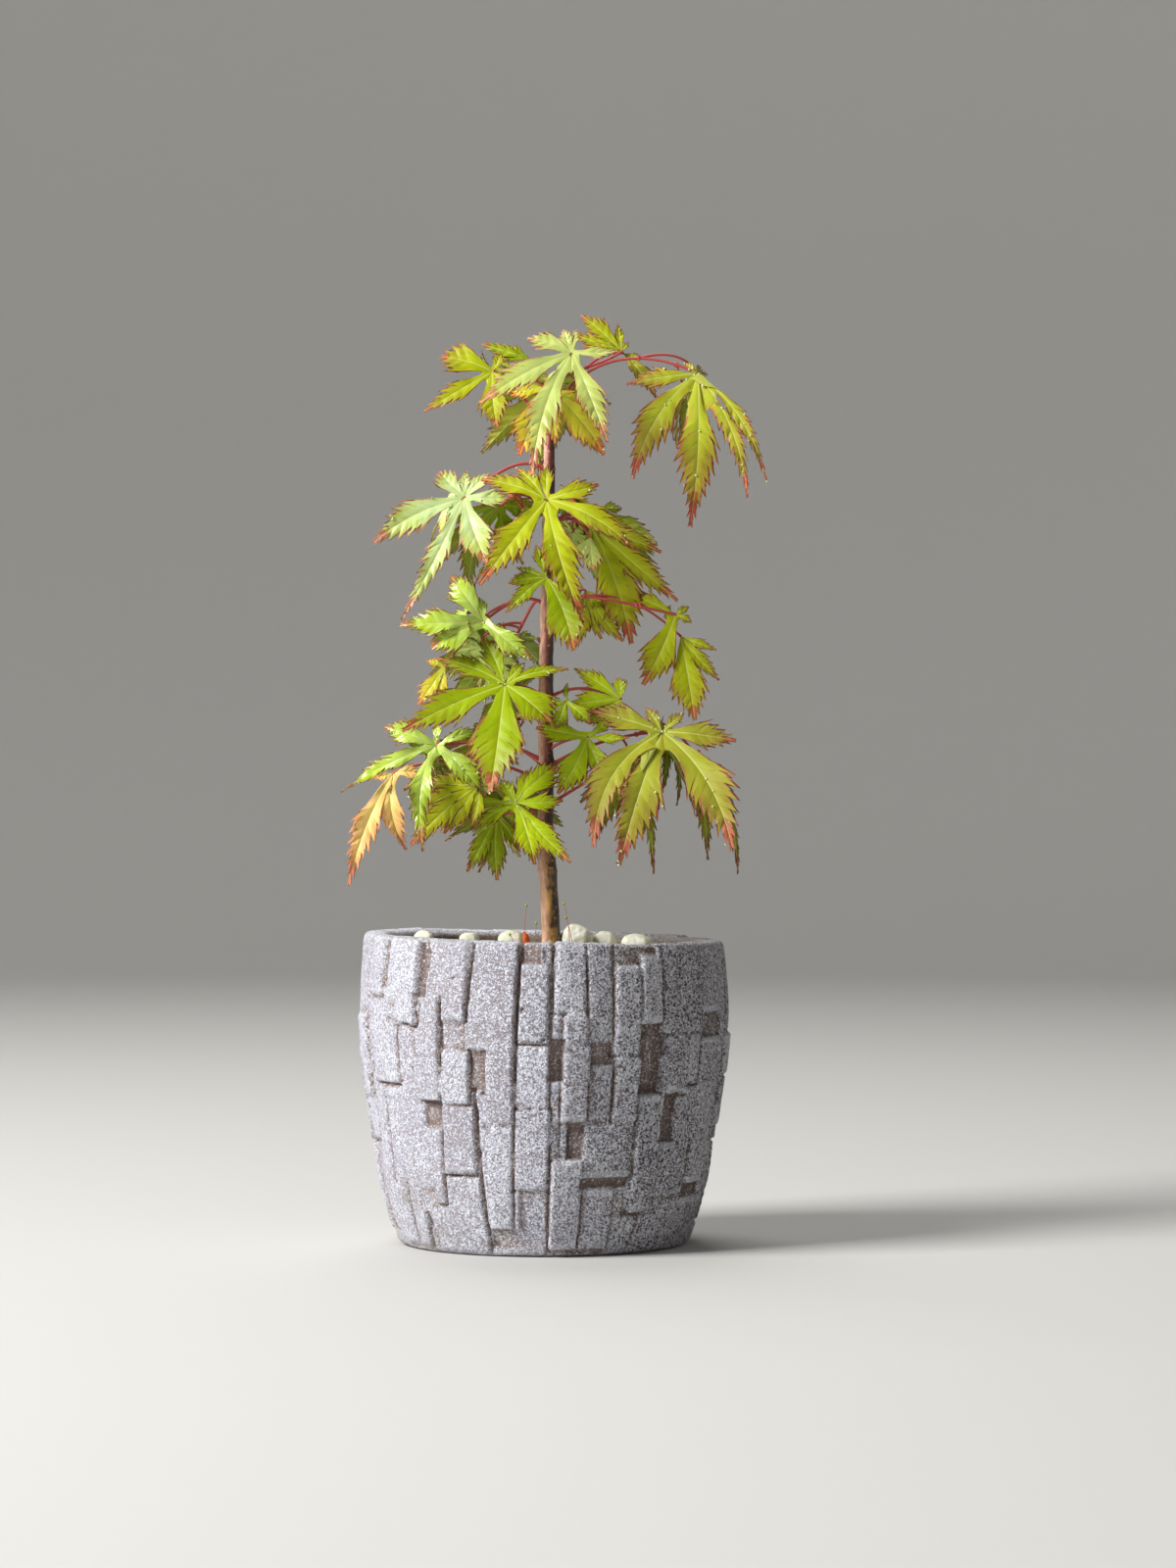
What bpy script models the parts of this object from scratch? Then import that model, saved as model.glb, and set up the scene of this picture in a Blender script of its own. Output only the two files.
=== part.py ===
"""A young Japanese maple in a cast concrete pot, as separate closed solids.

+Z is up and the plant's front faces -Y. The origin is the centre of the pot's flat underside.
Sizes are written in millimetres, and MM turns them into Blender's metres.
The trunk, each bough and each mass of foliage is a solid of its own, as are the pot, its soil and pebbles.
"""

import math
import random

import bmesh
import bpy
from mathutils import Matrix, Vector, noise

MM = 0.001
GAP = 0.3
SEED = 11

# The pot: radius and height down its outer side, and up its inner side from the floor.
POT_STEPS = 40
POT_FOOT_RADIUS = 50.8
POT_OUTER = ((66.0, 106.5), (66.9, 97.0), (68.0, 85.0), (66.2, 67.8), (63.6, 50.0), (60.7, 25.0),
             (57.6, 12.0), (54.2, 3.4))
POT_INNER = ((44.0, 10.0), (50.0, 20.0), (56.0, 58.0), (58.5, 85.0), (55.6, 108.0))
RIM_TOP = 111.7
RIM_CREST = (57.2, 62.6)
RIM_EDGE_RADIUS = 64.6
RIM_EDGE_DROP = 1.4

# The rim was cast a little out of level: it falls towards +X, above this height only.
RIM_FALL = 0.025
RIM_FALL_FROM = 60.0

SOIL_LEVEL = 106.0
SOIL_RINGS = (11.0, 26.0, 42.0)
SOIL_FLAT_RADIUS = 12.0
SOIL_UNEVENNESS = 0.8
SOIL_GRAIN = 24.0

# The trunk: height, place and radius, from the flat cut on the soil to the fork.
TRUNK = ((106.3, 2.9, 0.0, 4.5), (109.0, 2.8, 0.0, 3.8), (113.0, 2.55, 0.0, 3.4), (121.0, 2.1, 0.0, 3.3),
         (130.0, 1.6, 0.1, 3.25), (135.0, 1.2, 0.1, 3.35), (143.0, 0.7, 0.2, 3.1), (155.0, 0.5, 0.3, 2.85),
         (168.0, 0.5, 0.3, 2.75), (180.0, 0.5, 0.4, 2.65), (199.0, 0.6, 0.4, 2.7), (218.0, 0.8, 0.3, 2.55),
         (233.0, 1.1, 0.2, 2.5), (245.0, 1.4, 0.0, 2.3), (262.0, 1.7, 0.0, 2.25), (282.0, 1.8, 0.0, 2.1),
         (297.0, 1.8, 0.0, 1.95), (311.0, 2.4, 0.5, 1.7))
TRUNK_BEVEL_RESOLUTION = 3

BOUGH_POINTS = 8
BOUGH_BEVEL_RESOLUTION = 1
BOUGH_FOOT_RADIUS = 1.0
BOUGH_TIP_RADIUS = 0.5
BOUGH_STAND_OFF = 0.45
BOUGH_PULL = 0.4
BOUGH_RISE = 0.6
BOUGH_ARCH = 0.7

# A palmate mass: seven lobes that fan out from its foot, and how far each reaches, as on its leaves.
LOBE_ANGLES = (-112, -74, -38, 0, 38, 74, 112)
LOBE_REACHES = (0.3, 0.64, 0.93, 1.0, 0.93, 0.64, 0.3)
SIDE_LOBE_ANGLE = math.radians(38)
SIDE_LOBE_REACH = 0.93
SHOULDER_ANGLE = 12
SHOULDER_REACH = 0.66
NOTCH_REACH = 0.5
REAR_REACH = 0.1
INNER_RING_REACH = 0.6
MASS_THICKNESS = 3.6
MASS_BOW = 0.09
WING_SAG = 0.25
REACH_JITTER = 0.04
SURFACE_JITTER = 0.25

# Each spray's mass is set out from its foot and the tips of its middle, left and right lobes.
# The first number is the height of the node on the trunk that its bough leaves from. The last two
# scale its outer lobes on the left and on the right.
SPRAYS = {
    "top": (311, (16, 6, 328), (28, 10, 336), (13, 8, 338), (41, 12, 311), 0.5, 0.6),
    "top_front": (307, (10, -14, 323), (-4, -38, 277), (-23, -30, 304), (23, -35, 288), 0.6, 0.9),
    "top_right": (303, (56, 0, 317), (53, -12, 260), (32, -18, 277), (81, -2, 278), 1.0, 0.3),
    "top_left": (301, (-18, 4, 318), (-44, -6, 303), (-17, -8, 297), (-38, 6, 324), 0.5, 0.4),
    "under_top": (297, (4, -8, 307), (6, -20, 287), (-9, -17, 285), (21, -14, 287), 0.8, 0.8),
    "upper_left": (282, (-29, -10, 270), (-51, -30, 225), (-62, -18, 255), (-20, -26, 247), 0.7, 0.7),
    "upper_front": (266, (1, -14, 270), (14, -48, 225), (-23, -44, 237), (32, -36, 251), 0.8, 0.8),
    "upper_right": (262, (17, 4, 261), (38, -6, 224), (28, -12, 219), (49, 0, 235), 0.5, 0.6),
    "centre": (238, (1, -9, 242), (11, -22, 214), (-14, -22, 229), (16, -14, 229), 0.8, 0.5),
    "middle_left": (233, (-20, -10, 224), (-52, -18, 223), (-44, -14, 202), (-34, -8, 243), 0.6, 0.5),
    "middle_front": (199, (-14, -16, 203), (-19, -48, 164), (-52, -38, 185), (-2, -42, 188), 1.0, 1.0),
    "middle_right": (233, (48, 2, 230), (56, -4, 190), (36, -8, 204), (63, 4, 206), 0.6, 0.5),
    "inner_right": (199, (28, 2, 196), (11, -2, 190), (12, -6, 209), (27, -4, 183), 0.5, 0.5),
    "inner_low_right": (180, (16, -8, 184), (9, -20, 164), (3, -14, 184), (24, -16, 166), 0.6, 0.8),
    "low_left": (176, (-39, -14, 182), (-43, -38, 144), (-72, -24, 164), (-19, -32, 161), 0.6, 0.6),
    "far_left": (168, (-53, -2, 173), (-72, -4, 130), (-70, 8, 145), (-50, -8, 143), 0.5, 0.5),
    "low_front": (149, (-11, -12, 160), (-6, -34, 138), (-41, -28, 156), (10, -30, 139), 0.6, 0.9),
    "low_right": (174, (43, -6, 185), (27, -34, 138), (18, -28, 145), (68, -24, 143), 0.9, 1.0),
    "low_right_rear": (160, (48, 14, 178), (72, 16, 134), (41, 12, 133), (76, 24, 149), 0.5, 0.4),
}

# Sprays on the far side: node height, turn round the trunk, foot distance and height, and length.
REAR_SPRAYS = {
    "rear_top": (304, 95, 20, 314, 40),
    "rear_upper_left": (282, 135, 26, 270, 40),
    "rear_upper_right": (262, 50, 27, 268, 42),
    "rear_middle": (233, 92, 24, 222, 44),
    "rear_low_left": (174, 134, 32, 184, 40),
    "rear_low": (149, 112, 24, 161, 35),
}
REAR_DROP = 0.8
REAR_SPREAD = 0.52
REAR_SIDE_REACH = 0.72
TINTED_SPRAYS = ("far_left",)

# Pebbles on the soil: place, then length, width and height.
PEBBLES = ((12, 0, 10.5, 9.5, 10.6), (22, 4, 8.0, 7.5, 8.4), (34, -2, 12.5, 9.0, 7.9),
           (-12, 8, 9.5, 8.0, 7.6), (-44, 2, 7.0, 6.0, 6.4), (8, 34, 9.0, 7.5, 5.2),
           (-28, 22, 7.0, 6.5, 5.2))
PEBBLE_TURN = 37
PEBBLE_LUMPS = 2.2
PEBBLE_UNEVENNESS = 0.16
PEBBLE_UNDERSIDE = 0.38
PEBBLE_SEAT = 0.35

COLOURS = {
    "concrete": ((0.66, 0.67, 0.72), 0.92),
    "soil": ((0.055, 0.035, 0.022), 1.0),
    "pebble": ((0.62, 0.60, 0.42), 0.75),
    "bark": ((0.19, 0.07, 0.05), 0.55),
    "petiole": ((0.42, 0.09, 0.08), 0.5),
    "leaf": ((0.22, 0.36, 0.03), 0.5),
    "tinted_leaf": ((0.62, 0.28, 0.08), 0.5),
}


def clear_scene():
    for thing in list(bpy.data.objects):
        bpy.data.objects.remove(thing, do_unlink=True)


def make_collection(name):
    collection = bpy.data.collections.new(name)
    bpy.context.scene.collection.children.link(collection)
    return collection


def make_material(name, finish):
    """Each sub-part's own Principled material, in the colour and roughness of its finish."""
    colour, roughness = COLOURS[finish]
    material = bpy.data.materials.new(name + "_" + finish)
    material.use_nodes = True
    shader = material.node_tree.nodes["Principled BSDF"]
    shader.inputs["Base Color"].default_value = (*colour, 1.0)
    shader.inputs["Roughness"].default_value = roughness
    shader.inputs["Metallic"].default_value = 0.0
    return material


def finish_mesh(bm, name, collection, finish, smooth_angle):
    """The mesh, turned from millimetres to metres, as one named object."""
    bmesh.ops.recalc_face_normals(bm, faces=bm.faces)
    bmesh.ops.scale(bm, vec=(MM, MM, MM), verts=bm.verts)
    mesh = bpy.data.meshes.new(name)
    bm.to_mesh(mesh)
    bm.free()
    mesh.shade_smooth()
    mesh.set_sharp_from_angle(angle=math.radians(smooth_angle))
    mesh.materials.append(make_material(name, finish))
    made = bpy.data.objects.new(name, mesh)
    collection.objects.link(made)
    return made


def between(stations, height):
    """The values that a table of stations, rising in its first column, has at this height."""
    for low, high in zip(stations, stations[1:]):
        if height <= high[0]:
            share = (height - low[0]) / (high[0] - low[0])
            share = min(max(share, 0.0), 1.0)
            return tuple(a + (b - a) * share for a, b in zip(low[1:], high[1:]))
    return stations[-1][1:]


def fall_of_rim(point):
    """How far the uneven casting drops this point of the pot, or of the soil that fills it."""
    share = (point.z - RIM_FALL_FROM) / (RIM_TOP - RIM_FALL_FROM)
    return RIM_FALL * point.x * max(share, 0.0)


def turned_mesh(profile, name):
    """The profile in the XZ plane, turned round Z by a Screw modifier and made a mesh."""
    mesh = bpy.data.meshes.new(name + "_profile")
    points = [(radius * MM, 0.0, height * MM) for radius, height in profile]
    edges = [(index, index + 1) for index in range(len(points) - 1)]
    mesh.from_pydata(points, edges, [])
    guide = bpy.data.objects.new(name + "_profile", mesh)
    bpy.context.scene.collection.objects.link(guide)
    screw = guide.modifiers.new("turn", "SCREW")
    screw.steps = POT_STEPS
    screw.render_steps = POT_STEPS
    screw.use_merge_vertices = True
    screw.merge_threshold = 0.00005
    graph = bpy.context.evaluated_depsgraph_get()
    turned = bpy.data.meshes.new_from_object(guide.evaluated_get(graph))
    bm = bmesh.new()
    bm.from_mesh(turned)
    bmesh.ops.scale(bm, vec=(1 / MM, 1 / MM, 1 / MM), verts=bm.verts)
    bpy.data.objects.remove(guide, do_unlink=True)
    bpy.data.meshes.remove(turned)
    bpy.data.meshes.remove(mesh)
    return bm


def make_pot(collection):
    rim = ((RIM_CREST[0], RIM_TOP), (RIM_CREST[1], RIM_TOP), (RIM_EDGE_RADIUS, RIM_TOP - RIM_EDGE_DROP))
    floor = (0.0, POT_INNER[0][1])
    underside = ((POT_FOOT_RADIUS, 0.0), (0.0, 0.0))
    bm = turned_mesh((floor, *POT_INNER, *rim, *POT_OUTER, *underside), "pot")
    for vert in bm.verts:
        vert.co.z -= fall_of_rim(vert.co)
    return finish_mesh(bm, "pot", collection, "concrete", 45)


def soil_relief(x, y):
    """How far the soil's top lies above its level: flat at the trunk's foot, uneven away from it."""
    away = math.hypot(x, y) - SOIL_FLAT_RADIUS
    share = min(max(away / SOIL_FLAT_RADIUS, 0.0), 1.0)
    return SOIL_UNEVENNESS * share * noise.noise(Vector((x, y, SEED)) / SOIL_GRAIN)


def make_soil(collection):
    walls = tuple((height, radius) for radius, height in POT_INNER)
    edge_radius = between(walls, SOIL_LEVEL)[0] - GAP
    top = [(radius, SOIL_LEVEL) for radius in (0.0, *SOIL_RINGS, edge_radius)]
    below = [(radius - GAP, height) for radius, height in POT_INNER if height < SOIL_LEVEL]
    below.reverse()
    floor_radius, floor_height = below.pop()
    bottom = [(floor_radius, floor_height + GAP), (0.0, floor_height + GAP)]
    bm = turned_mesh((*top, *below, *bottom), "soil")
    for vert in bm.verts:
        if vert.co.z > SOIL_LEVEL - GAP and math.hypot(vert.co.x, vert.co.y) < edge_radius - GAP:
            vert.co.z += soil_relief(vert.co.x, vert.co.y)
        vert.co.z -= fall_of_rim(vert.co)
    return finish_mesh(bm, "soil", collection, "soil", 30)


def soil_height(x, y):
    level = Vector((x, y, SOIL_LEVEL + soil_relief(x, y)))
    return level.z - fall_of_rim(level)


def make_pebble(index, spec, collection):
    """A pebble with a worn, slightly flattened underside, resting on the soil."""
    x, y, *sides = spec
    bm = bmesh.new()
    bmesh.ops.create_icosphere(bm, subdivisions=2, radius=0.5)
    for vert in bm.verts:
        lump = noise.noise(vert.co * PEBBLE_LUMPS + Vector((index, SEED, 0)))
        vert.co *= 1.0 + PEBBLE_UNEVENNESS * lump
        vert.co.z = max(vert.co.z, -PEBBLE_UNDERSIDE)
    turn = Matrix.Rotation(math.radians(PEBBLE_TURN * index), 4, "Z")
    bmesh.ops.transform(bm, matrix=turn @ Matrix.Diagonal((*sides, 1.0)), verts=bm.verts)
    ground = max(soil_height(x + vert.co.x, y + vert.co.y) - vert.co.z for vert in bm.verts)
    bmesh.ops.translate(bm, vec=(x, y, ground + PEBBLE_SEAT), verts=bm.verts)
    return finish_mesh(bm, "pebble_" + str(index + 1), collection, "pebble", 60)


def make_limb(name, points, radii, resolution, collection, finish):
    """A tapering limb: a curve with a round bevel and flat ends, made a mesh with its caps welded."""
    curve = bpy.data.curves.new(name, "CURVE")
    curve.dimensions = "3D"
    curve.twist_mode = "MINIMUM"
    curve.bevel_depth = MM
    curve.bevel_resolution = resolution
    curve.use_fill_caps = True
    spline = curve.splines.new("POLY")
    spline.points.add(len(points) - 1)
    for knot, place, radius in zip(spline.points, points, radii):
        knot.co = (*(place * MM), 1.0)
        knot.radius = radius
    guide = bpy.data.objects.new(name + "_line", curve)
    bpy.context.scene.collection.objects.link(guide)
    graph = bpy.context.evaluated_depsgraph_get()
    solid = bpy.data.meshes.new_from_object(guide.evaluated_get(graph))
    bm = bmesh.new()
    bm.from_mesh(solid)
    bmesh.ops.remove_doubles(bm, verts=bm.verts, dist=0.02 * MM)
    bmesh.ops.scale(bm, vec=(1 / MM, 1 / MM, 1 / MM), verts=bm.verts)
    bpy.data.objects.remove(guide, do_unlink=True)
    bpy.data.meshes.remove(solid)
    bpy.data.curves.remove(curve)
    return finish_mesh(bm, name, collection, finish, 50)


def make_trunk(collection):
    points = [Vector((x, y, height)) for height, x, y, radius in TRUNK]
    radii = [radius for height, x, y, radius in TRUNK]
    made = make_limb("trunk", points, radii, TRUNK_BEVEL_RESOLUTION, collection, "bark")
    flatten_foot(made)
    return made


def flatten_foot(trunk):
    """Lays the trunk's lowest ring level, as the flat cut at the soil."""
    foot = TRUNK[0][0] * MM
    reach = (TRUNK[1][0] - TRUNK[0][0]) * MM / 2
    for vert in trunk.data.vertices:
        if vert.co.z < foot + reach:
            vert.co.z = foot


def bough_start(height, towards):
    """A place just clear of the trunk's side, facing the spray's foot, and the way the bough leaves it."""
    x, y, radius = between(TRUNK, height)
    axis = Vector((x, y, height))
    if height >= TRUNK[-1][0]:
        return axis + Vector((0, 0, GAP)), Vector((0, 0, 1))
    outward = Vector((towards.x - x, towards.y - y, 0)).normalized()
    leaving = (outward + Vector((0, 0, BOUGH_RISE))).normalized()
    return axis + outward * (radius + GAP + BOUGH_STAND_OFF), leaving


def make_bough(name, height, foot, face, collection):
    """A tapering bough that rises from the trunk and ends where it enters its mass from behind."""
    end = foot - face * (MASS_THICKNESS / 2 + GAP + BOUGH_TIP_RADIUS)
    start, leaving = bough_start(height, foot)
    across = end - start
    pull = BOUGH_PULL * across.length
    first = start + leaving * pull
    second = end - (across.normalized() + face + Vector((0, 0, -BOUGH_ARCH))).normalized() * pull
    points = []
    radii = []
    for step in range(BOUGH_POINTS):
        share = step / (BOUGH_POINTS - 1)
        rest = 1.0 - share
        points.append(start * rest ** 3 + first * 3 * share * rest ** 2
                      + second * 3 * share ** 2 * rest + end * share ** 3)
        radii.append(BOUGH_FOOT_RADIUS * rest + BOUGH_TIP_RADIUS * share)
    return make_limb("bough_" + name, points, radii, BOUGH_BEVEL_RESOLUTION, collection, "petiole")


def palmate_outline():
    """Angle and reach of each point round a mass: the rear notch, then each lobe's shoulders and tip."""
    outline = [(-180.0, REAR_REACH)]
    for index, (angle, reach) in enumerate(zip(LOBE_ANGLES, LOBE_REACHES)):
        outline.append((angle - SHOULDER_ANGLE, SHOULDER_REACH * reach))
        outline.append((angle, reach))
        outline.append((angle + SHOULDER_ANGLE, SHOULDER_REACH * reach))
        if index + 1 < len(LOBE_ANGLES):
            notch = NOTCH_REACH * (reach + LOBE_REACHES[index + 1]) / 2
            outline.append(((angle + LOBE_ANGLES[index + 1]) / 2, notch))
    return outline


def fan_of(foot, middle, left, right, left_wing, right_wing):
    """A function from an angle and a reach to a place from the foot, which meets the three given tips."""
    ahead = middle - foot
    flat = math.cos(SIDE_LOBE_ANGLE)
    lift = math.sin(SIDE_LOBE_ANGLE)
    left_side = ((left - foot) / SIDE_LOBE_REACH - ahead * flat) / lift
    right_side = ((right - foot) / SIDE_LOBE_REACH - ahead * flat) / lift
    sides = {False: (left_side, left_wing), True: (right_side, right_wing)}

    def place(angle, reach):
        side, wing = sides[angle > 0]
        turn = math.radians(abs(angle))
        outer = min(max((turn - SIDE_LOBE_ANGLE) / SIDE_LOBE_ANGLE, 0.0), 1.0)
        scale = 1.0 + (wing - 1.0) * outer
        sag = Vector((0, 0, -WING_SAG * outer * ahead.length))
        return scale * reach * (ahead * math.cos(turn) + side * math.sin(turn) + sag)

    return place


def make_mass(name, places, wings, face, finish, collection):
    """A thin, bowed, uneven cap of foliage whose lobes reach out to the spray's tips."""
    draw = random.Random(name + str(SEED))
    outline = palmate_outline()
    foot, middle = places[:2]
    place = fan_of(*places, *wings)
    length = (middle - foot).length
    bm = bmesh.new()
    bmesh.ops.create_uvsphere(bm, u_segments=len(outline), v_segments=4, radius=1.0)
    turn = 2 * math.pi / len(outline)
    for vert in bm.verts:
        unit = vert.co.copy()
        across = math.hypot(unit.x, unit.y)
        if across < 0.01:
            vert.co = foot + face * (unit.z * MASS_THICKNESS / 2)
            continue
        angle, reach = outline[round(math.atan2(unit.y, unit.x) / turn) % len(outline)]
        ring = 1.0 if across > 0.99 else INNER_RING_REACH
        jitter = 1.0 + draw.uniform(-REACH_JITTER, 0.0)
        bow = MASS_BOW * length * 4 * ring * reach * (1.0 - ring * reach)
        surface = unit.z * MASS_THICKNESS / 2 + draw.uniform(-SURFACE_JITTER, SURFACE_JITTER)
        vert.co = foot + place(angle, reach * ring * jitter) + face * (bow + surface)
    bmesh.ops.triangulate(bm, faces=bm.faces)
    return finish_mesh(bm, "foliage_" + name, collection, finish, 60)


def make_spray(name, height, places, wings, collection):
    """A mass of foliage and the bough that carries it."""
    foot, left, right = places[0], places[2], places[3]
    face = (left - foot).cross(right - foot).normalized()
    finish = "tinted_leaf" if name in TINTED_SPRAYS else "leaf"
    make_mass(name, places, wings, face, finish, collection)
    make_bough(name, height, foot, face, collection)


def make_rear_spray(name, height, turn, distance, foot_height, length, collection):
    """A spray on the far side: its foot stands out from the trunk, and its lobes droop outwards."""
    x, y = between(TRUNK, height)[:2]
    angle = math.radians(turn)
    outward = Vector((math.cos(angle), math.sin(angle), 0))
    left_hand = Vector((math.sin(angle), -math.cos(angle), 0))
    foot = Vector((x, y, foot_height)) + outward * distance
    ahead = outward * (length * math.sqrt(1 - REAR_DROP ** 2)) - Vector((0, 0, REAR_DROP * length))
    across = left_hand * (length * REAR_SPREAD)
    sides = [foot + ahead * REAR_SIDE_REACH + across * hand for hand in (1, -1)]
    make_spray(name, height, (foot, foot + ahead, *sides), (1.0, 1.0), collection)


def main():
    clear_scene()
    collection = make_collection("potted_japanese_maple")
    make_pot(collection)
    make_soil(collection)
    for index, spec in enumerate(PEBBLES):
        make_pebble(index, spec, collection)
    make_trunk(collection)
    for name, (height, *places, left_wing, right_wing) in SPRAYS.items():
        make_spray(name, height, [Vector(place) for place in places], (left_wing, right_wing), collection)
    for name, spec in REAR_SPRAYS.items():
        make_rear_spray(name, *spec, collection)


main()
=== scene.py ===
"""The looks of a young Japanese maple in a cast concrete pot.

+Z is up and the plant's front faces -Y. Sizes are written in millimetres, and MM turns them into metres.
Each foliage mass becomes leaves on red stalks, and the pot, soil, pebbles and trunk get their real relief.
"""

import functools
import itertools
import math
import random

import bmesh
import bpy
import numpy as np
from mathutils import Matrix, Vector, noise


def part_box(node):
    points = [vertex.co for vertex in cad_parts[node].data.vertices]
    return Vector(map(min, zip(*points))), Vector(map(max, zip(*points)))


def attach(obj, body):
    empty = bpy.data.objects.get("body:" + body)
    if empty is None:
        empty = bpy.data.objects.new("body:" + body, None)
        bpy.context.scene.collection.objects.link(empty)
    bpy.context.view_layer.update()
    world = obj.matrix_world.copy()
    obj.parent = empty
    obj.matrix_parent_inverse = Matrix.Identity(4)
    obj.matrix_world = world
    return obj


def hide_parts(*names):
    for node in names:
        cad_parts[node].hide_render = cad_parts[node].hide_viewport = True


MM = 0.001
SEED = 23

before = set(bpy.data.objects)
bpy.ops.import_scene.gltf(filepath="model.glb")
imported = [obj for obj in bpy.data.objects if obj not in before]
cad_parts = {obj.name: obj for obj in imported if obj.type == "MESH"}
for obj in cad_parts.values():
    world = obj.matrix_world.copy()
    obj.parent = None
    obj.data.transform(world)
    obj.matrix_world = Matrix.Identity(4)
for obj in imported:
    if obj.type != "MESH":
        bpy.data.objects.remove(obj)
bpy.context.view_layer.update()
bpy.ops.object.select_all(action="DESELECT")

# The pot: radius and height of its outer side, from the foot to the rim, and of its inner side downwards.
# Its top falls a little to the right, and the soil's level with it.
POT_FOOT = ((50.8, 0.0), (52.6, 0.5), (53.6, 1.6))
POT_WALL = ((54.2, 3.4), (57.6, 12.0), (60.7, 25.0), (63.6, 50.0), (66.2, 67.8), (67.8, 85.0), (66.9, 97.0),
            (66.0, 106.5))
POT_RIM = ((65.9, 108.8), (65.5, 110.4), (64.8, 111.3), (63.6, 111.8), (60.6, 111.9), (58.0, 111.6),
           (56.6, 110.8), (55.9, 109.4), (55.6, 108.0), (56.0, 105.5), (57.2, 96.0), (58.5, 85.0))
POT_INSIDE = ((56.0, 58.0), (50.0, 20.0), (44.0, 10.0))
POT_AROUND = 648
POT_WALL_STEP = 0.84
RIM_FALL = 0.025
RIM_FALL_FROM = 60.0
RIM_TOP = 111.7

# The blocks of the pot's front: left and right angle, bottom and top, and how far each stands out.
POT_BLOCKS = (
    (-80, -72, 96, 111, 0.2), (-70, -59.5, 90.5, 111, 0.1), (-56, -41.5, 81.5, 111, 0.5),
    (-59.5, -56, 94, 111, -1.2), (-41.5, -38, 88, 111, -1.3), (-38, -22.5, 83, 111, 0.35),
    (-41.5, -33.5, 55, 91, 0.4), (-57, -45, 62, 80, -0.5), (-46, -43, 70, 81, -0.8),
    (-67, -52, 60, 89, 0.0), (-24, -8, 73, 111, 0.15), (-18, -8.5, 47, 76, 0.35),
    (-23, -18, 59, 73, -1.2), (-33, -24, 73, 83, -0.8), (-33.5, -23.5, 54, 73, 0.3),
    (-41, -34, 45.5, 54.5, -1.5), (-34, -22.5, 29, 54, 0.2), (-41, -35, 18, 45, 0.1),
    (-6.5, 0, 104, 112, -1.5), (0, 4, 104, 112, -1.0), (-7, 1.8, 76, 104, 0.35),
    (-8.5, 2, 53, 75.5, 0.15), (4.5, 13.5, 86.5, 112, 0.1),
    (6.5, 14.5, 48, 86.5, 0.65), (2, 6.5, 63, 77.5, -1.8), (14, 22.5, 76.5, 111, -0.3),
    (15, 22, 68.5, 76.5, -1.5), (15, 22.5, 48, 68.5, 0.0), (22.5, 38, 104, 112, -1.2),
    (22.5, 31.5, 72, 104, 0.35), (23, 31.5, 47, 71.5, 0.6), (31.5, 39.5, 83, 107, 0.5),
    (31.5, 39.5, 57.5, 83, -1.8), (40, 57, 79.5, 112, 0.2), (39.5, 44, 71, 79.5, -1.2),
    (41, 52, 57, 79, 0.35), (51, 58, 60, 79, 0.2), (59, 72, 77, 86, -1.2), (58, 74, 20, 60, 0.3),
    (40, 48, 40, 57, -1.8),
    (-18, -10, 9.5, 46.5, 0.2), (-9.5, 2, 24, 52.5, 0.35), (-8, 2, 9.5, 24, -0.7), (-19, 1, 2, 9.5, -0.9),
    (2.5, 13, 2, 35, 0.6), (8, 13.5, 35, 48, -1.6), (2.5, 8, 35, 48, -0.5), (13.5, 31, 28, 48, 0.1),
    (12.5, 30, 24.5, 28, -1.5), (14.5, 24.5, 2, 24, 0.4), (24.5, 30, 14, 24, -0.8), (30, 36, 15, 28, 0.0),
    (31.5, 41.5, 15, 57.5, 0.4), (41.5, 56, 20, 40, 0.1), (56, 68, 19, 24, -1.2), (-62, -55, 2, 24, 0.2),
    (-53, -46, 2, 14, 0.3), (-48, -40, 16, 23.5, -0.7))

# Grooves and joint lines: angle and height at each end, depth and width. Holes: angle, height and size.
POT_GROOVES = (
    (-70, 111, -75, 97, 1.3, 1.3), (-69, 91, -69, 64, 1.0, 1.0), (-70, 90.5, -57, 90.5, 0.7, 0.8),
    (-56, 83, -41, 80.5, 0.9, 0.9), (-37, 107, -41, 82, 1.3, 1.2), (-32, 83, -23, 83, 0.7, 0.8),
    (-32.5, 90, -32.5, 66, 1.1, 1.0), (-21.5, 111, -24, 83.5, 1.5, 1.1), (-67, 59.5, -52, 59.5, 1.0, 1.4),
    (-62, 58, -62, 24, 1.5, 1.2), (-26, 73, -17, 73, 0.6, 0.7), (-42, 54.3, -23, 54.0, 0.8, 0.8),
    (-34, 29, -22.5, 29, 0.8, 0.8), (-6.5, 111.9, -8.8, 63, 1.8, 1.3), (3.7, 111.9, 2.5, 78, 1.6, 1.2),
    (14, 104, 14, 86, 1.2, 1.0), (-22, 59, -20, 2, 1.9, 1.15), (2.2, 24, 2, 2, 1.2, 1.2),
    (30, 15, 36, 15, 0.7, 0.8), (36, 14, 34.5, 3, 1.1, 1.1), (-45, 14, -43, 2, 1.0, 1.1),
    (22.5, 111, 22.5, 48, 0.8, 0.8), (31.5, 104, 31.5, 47, 0.7, 0.8), (40, 111, 40, 58, 0.9, 0.9),
    (-8.8, 63, -9.6, 24, 0.9, 1.0), (5.9, 86, 5.4, 36, 0.7, 0.8), (57.5, 111, 58, 60, 0.9, 0.9))
POT_HOLES = ((0.5, 77.5, 0.8), (53, 60, 1.1), (-21, 37, 1.0), (-19, 58, 0.9), (-6, 88, 0.8), (33, 79, 0.9),
             (10, 108, 0.7), (27, 60, 0.6), (-28, 98, 0.7))

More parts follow.
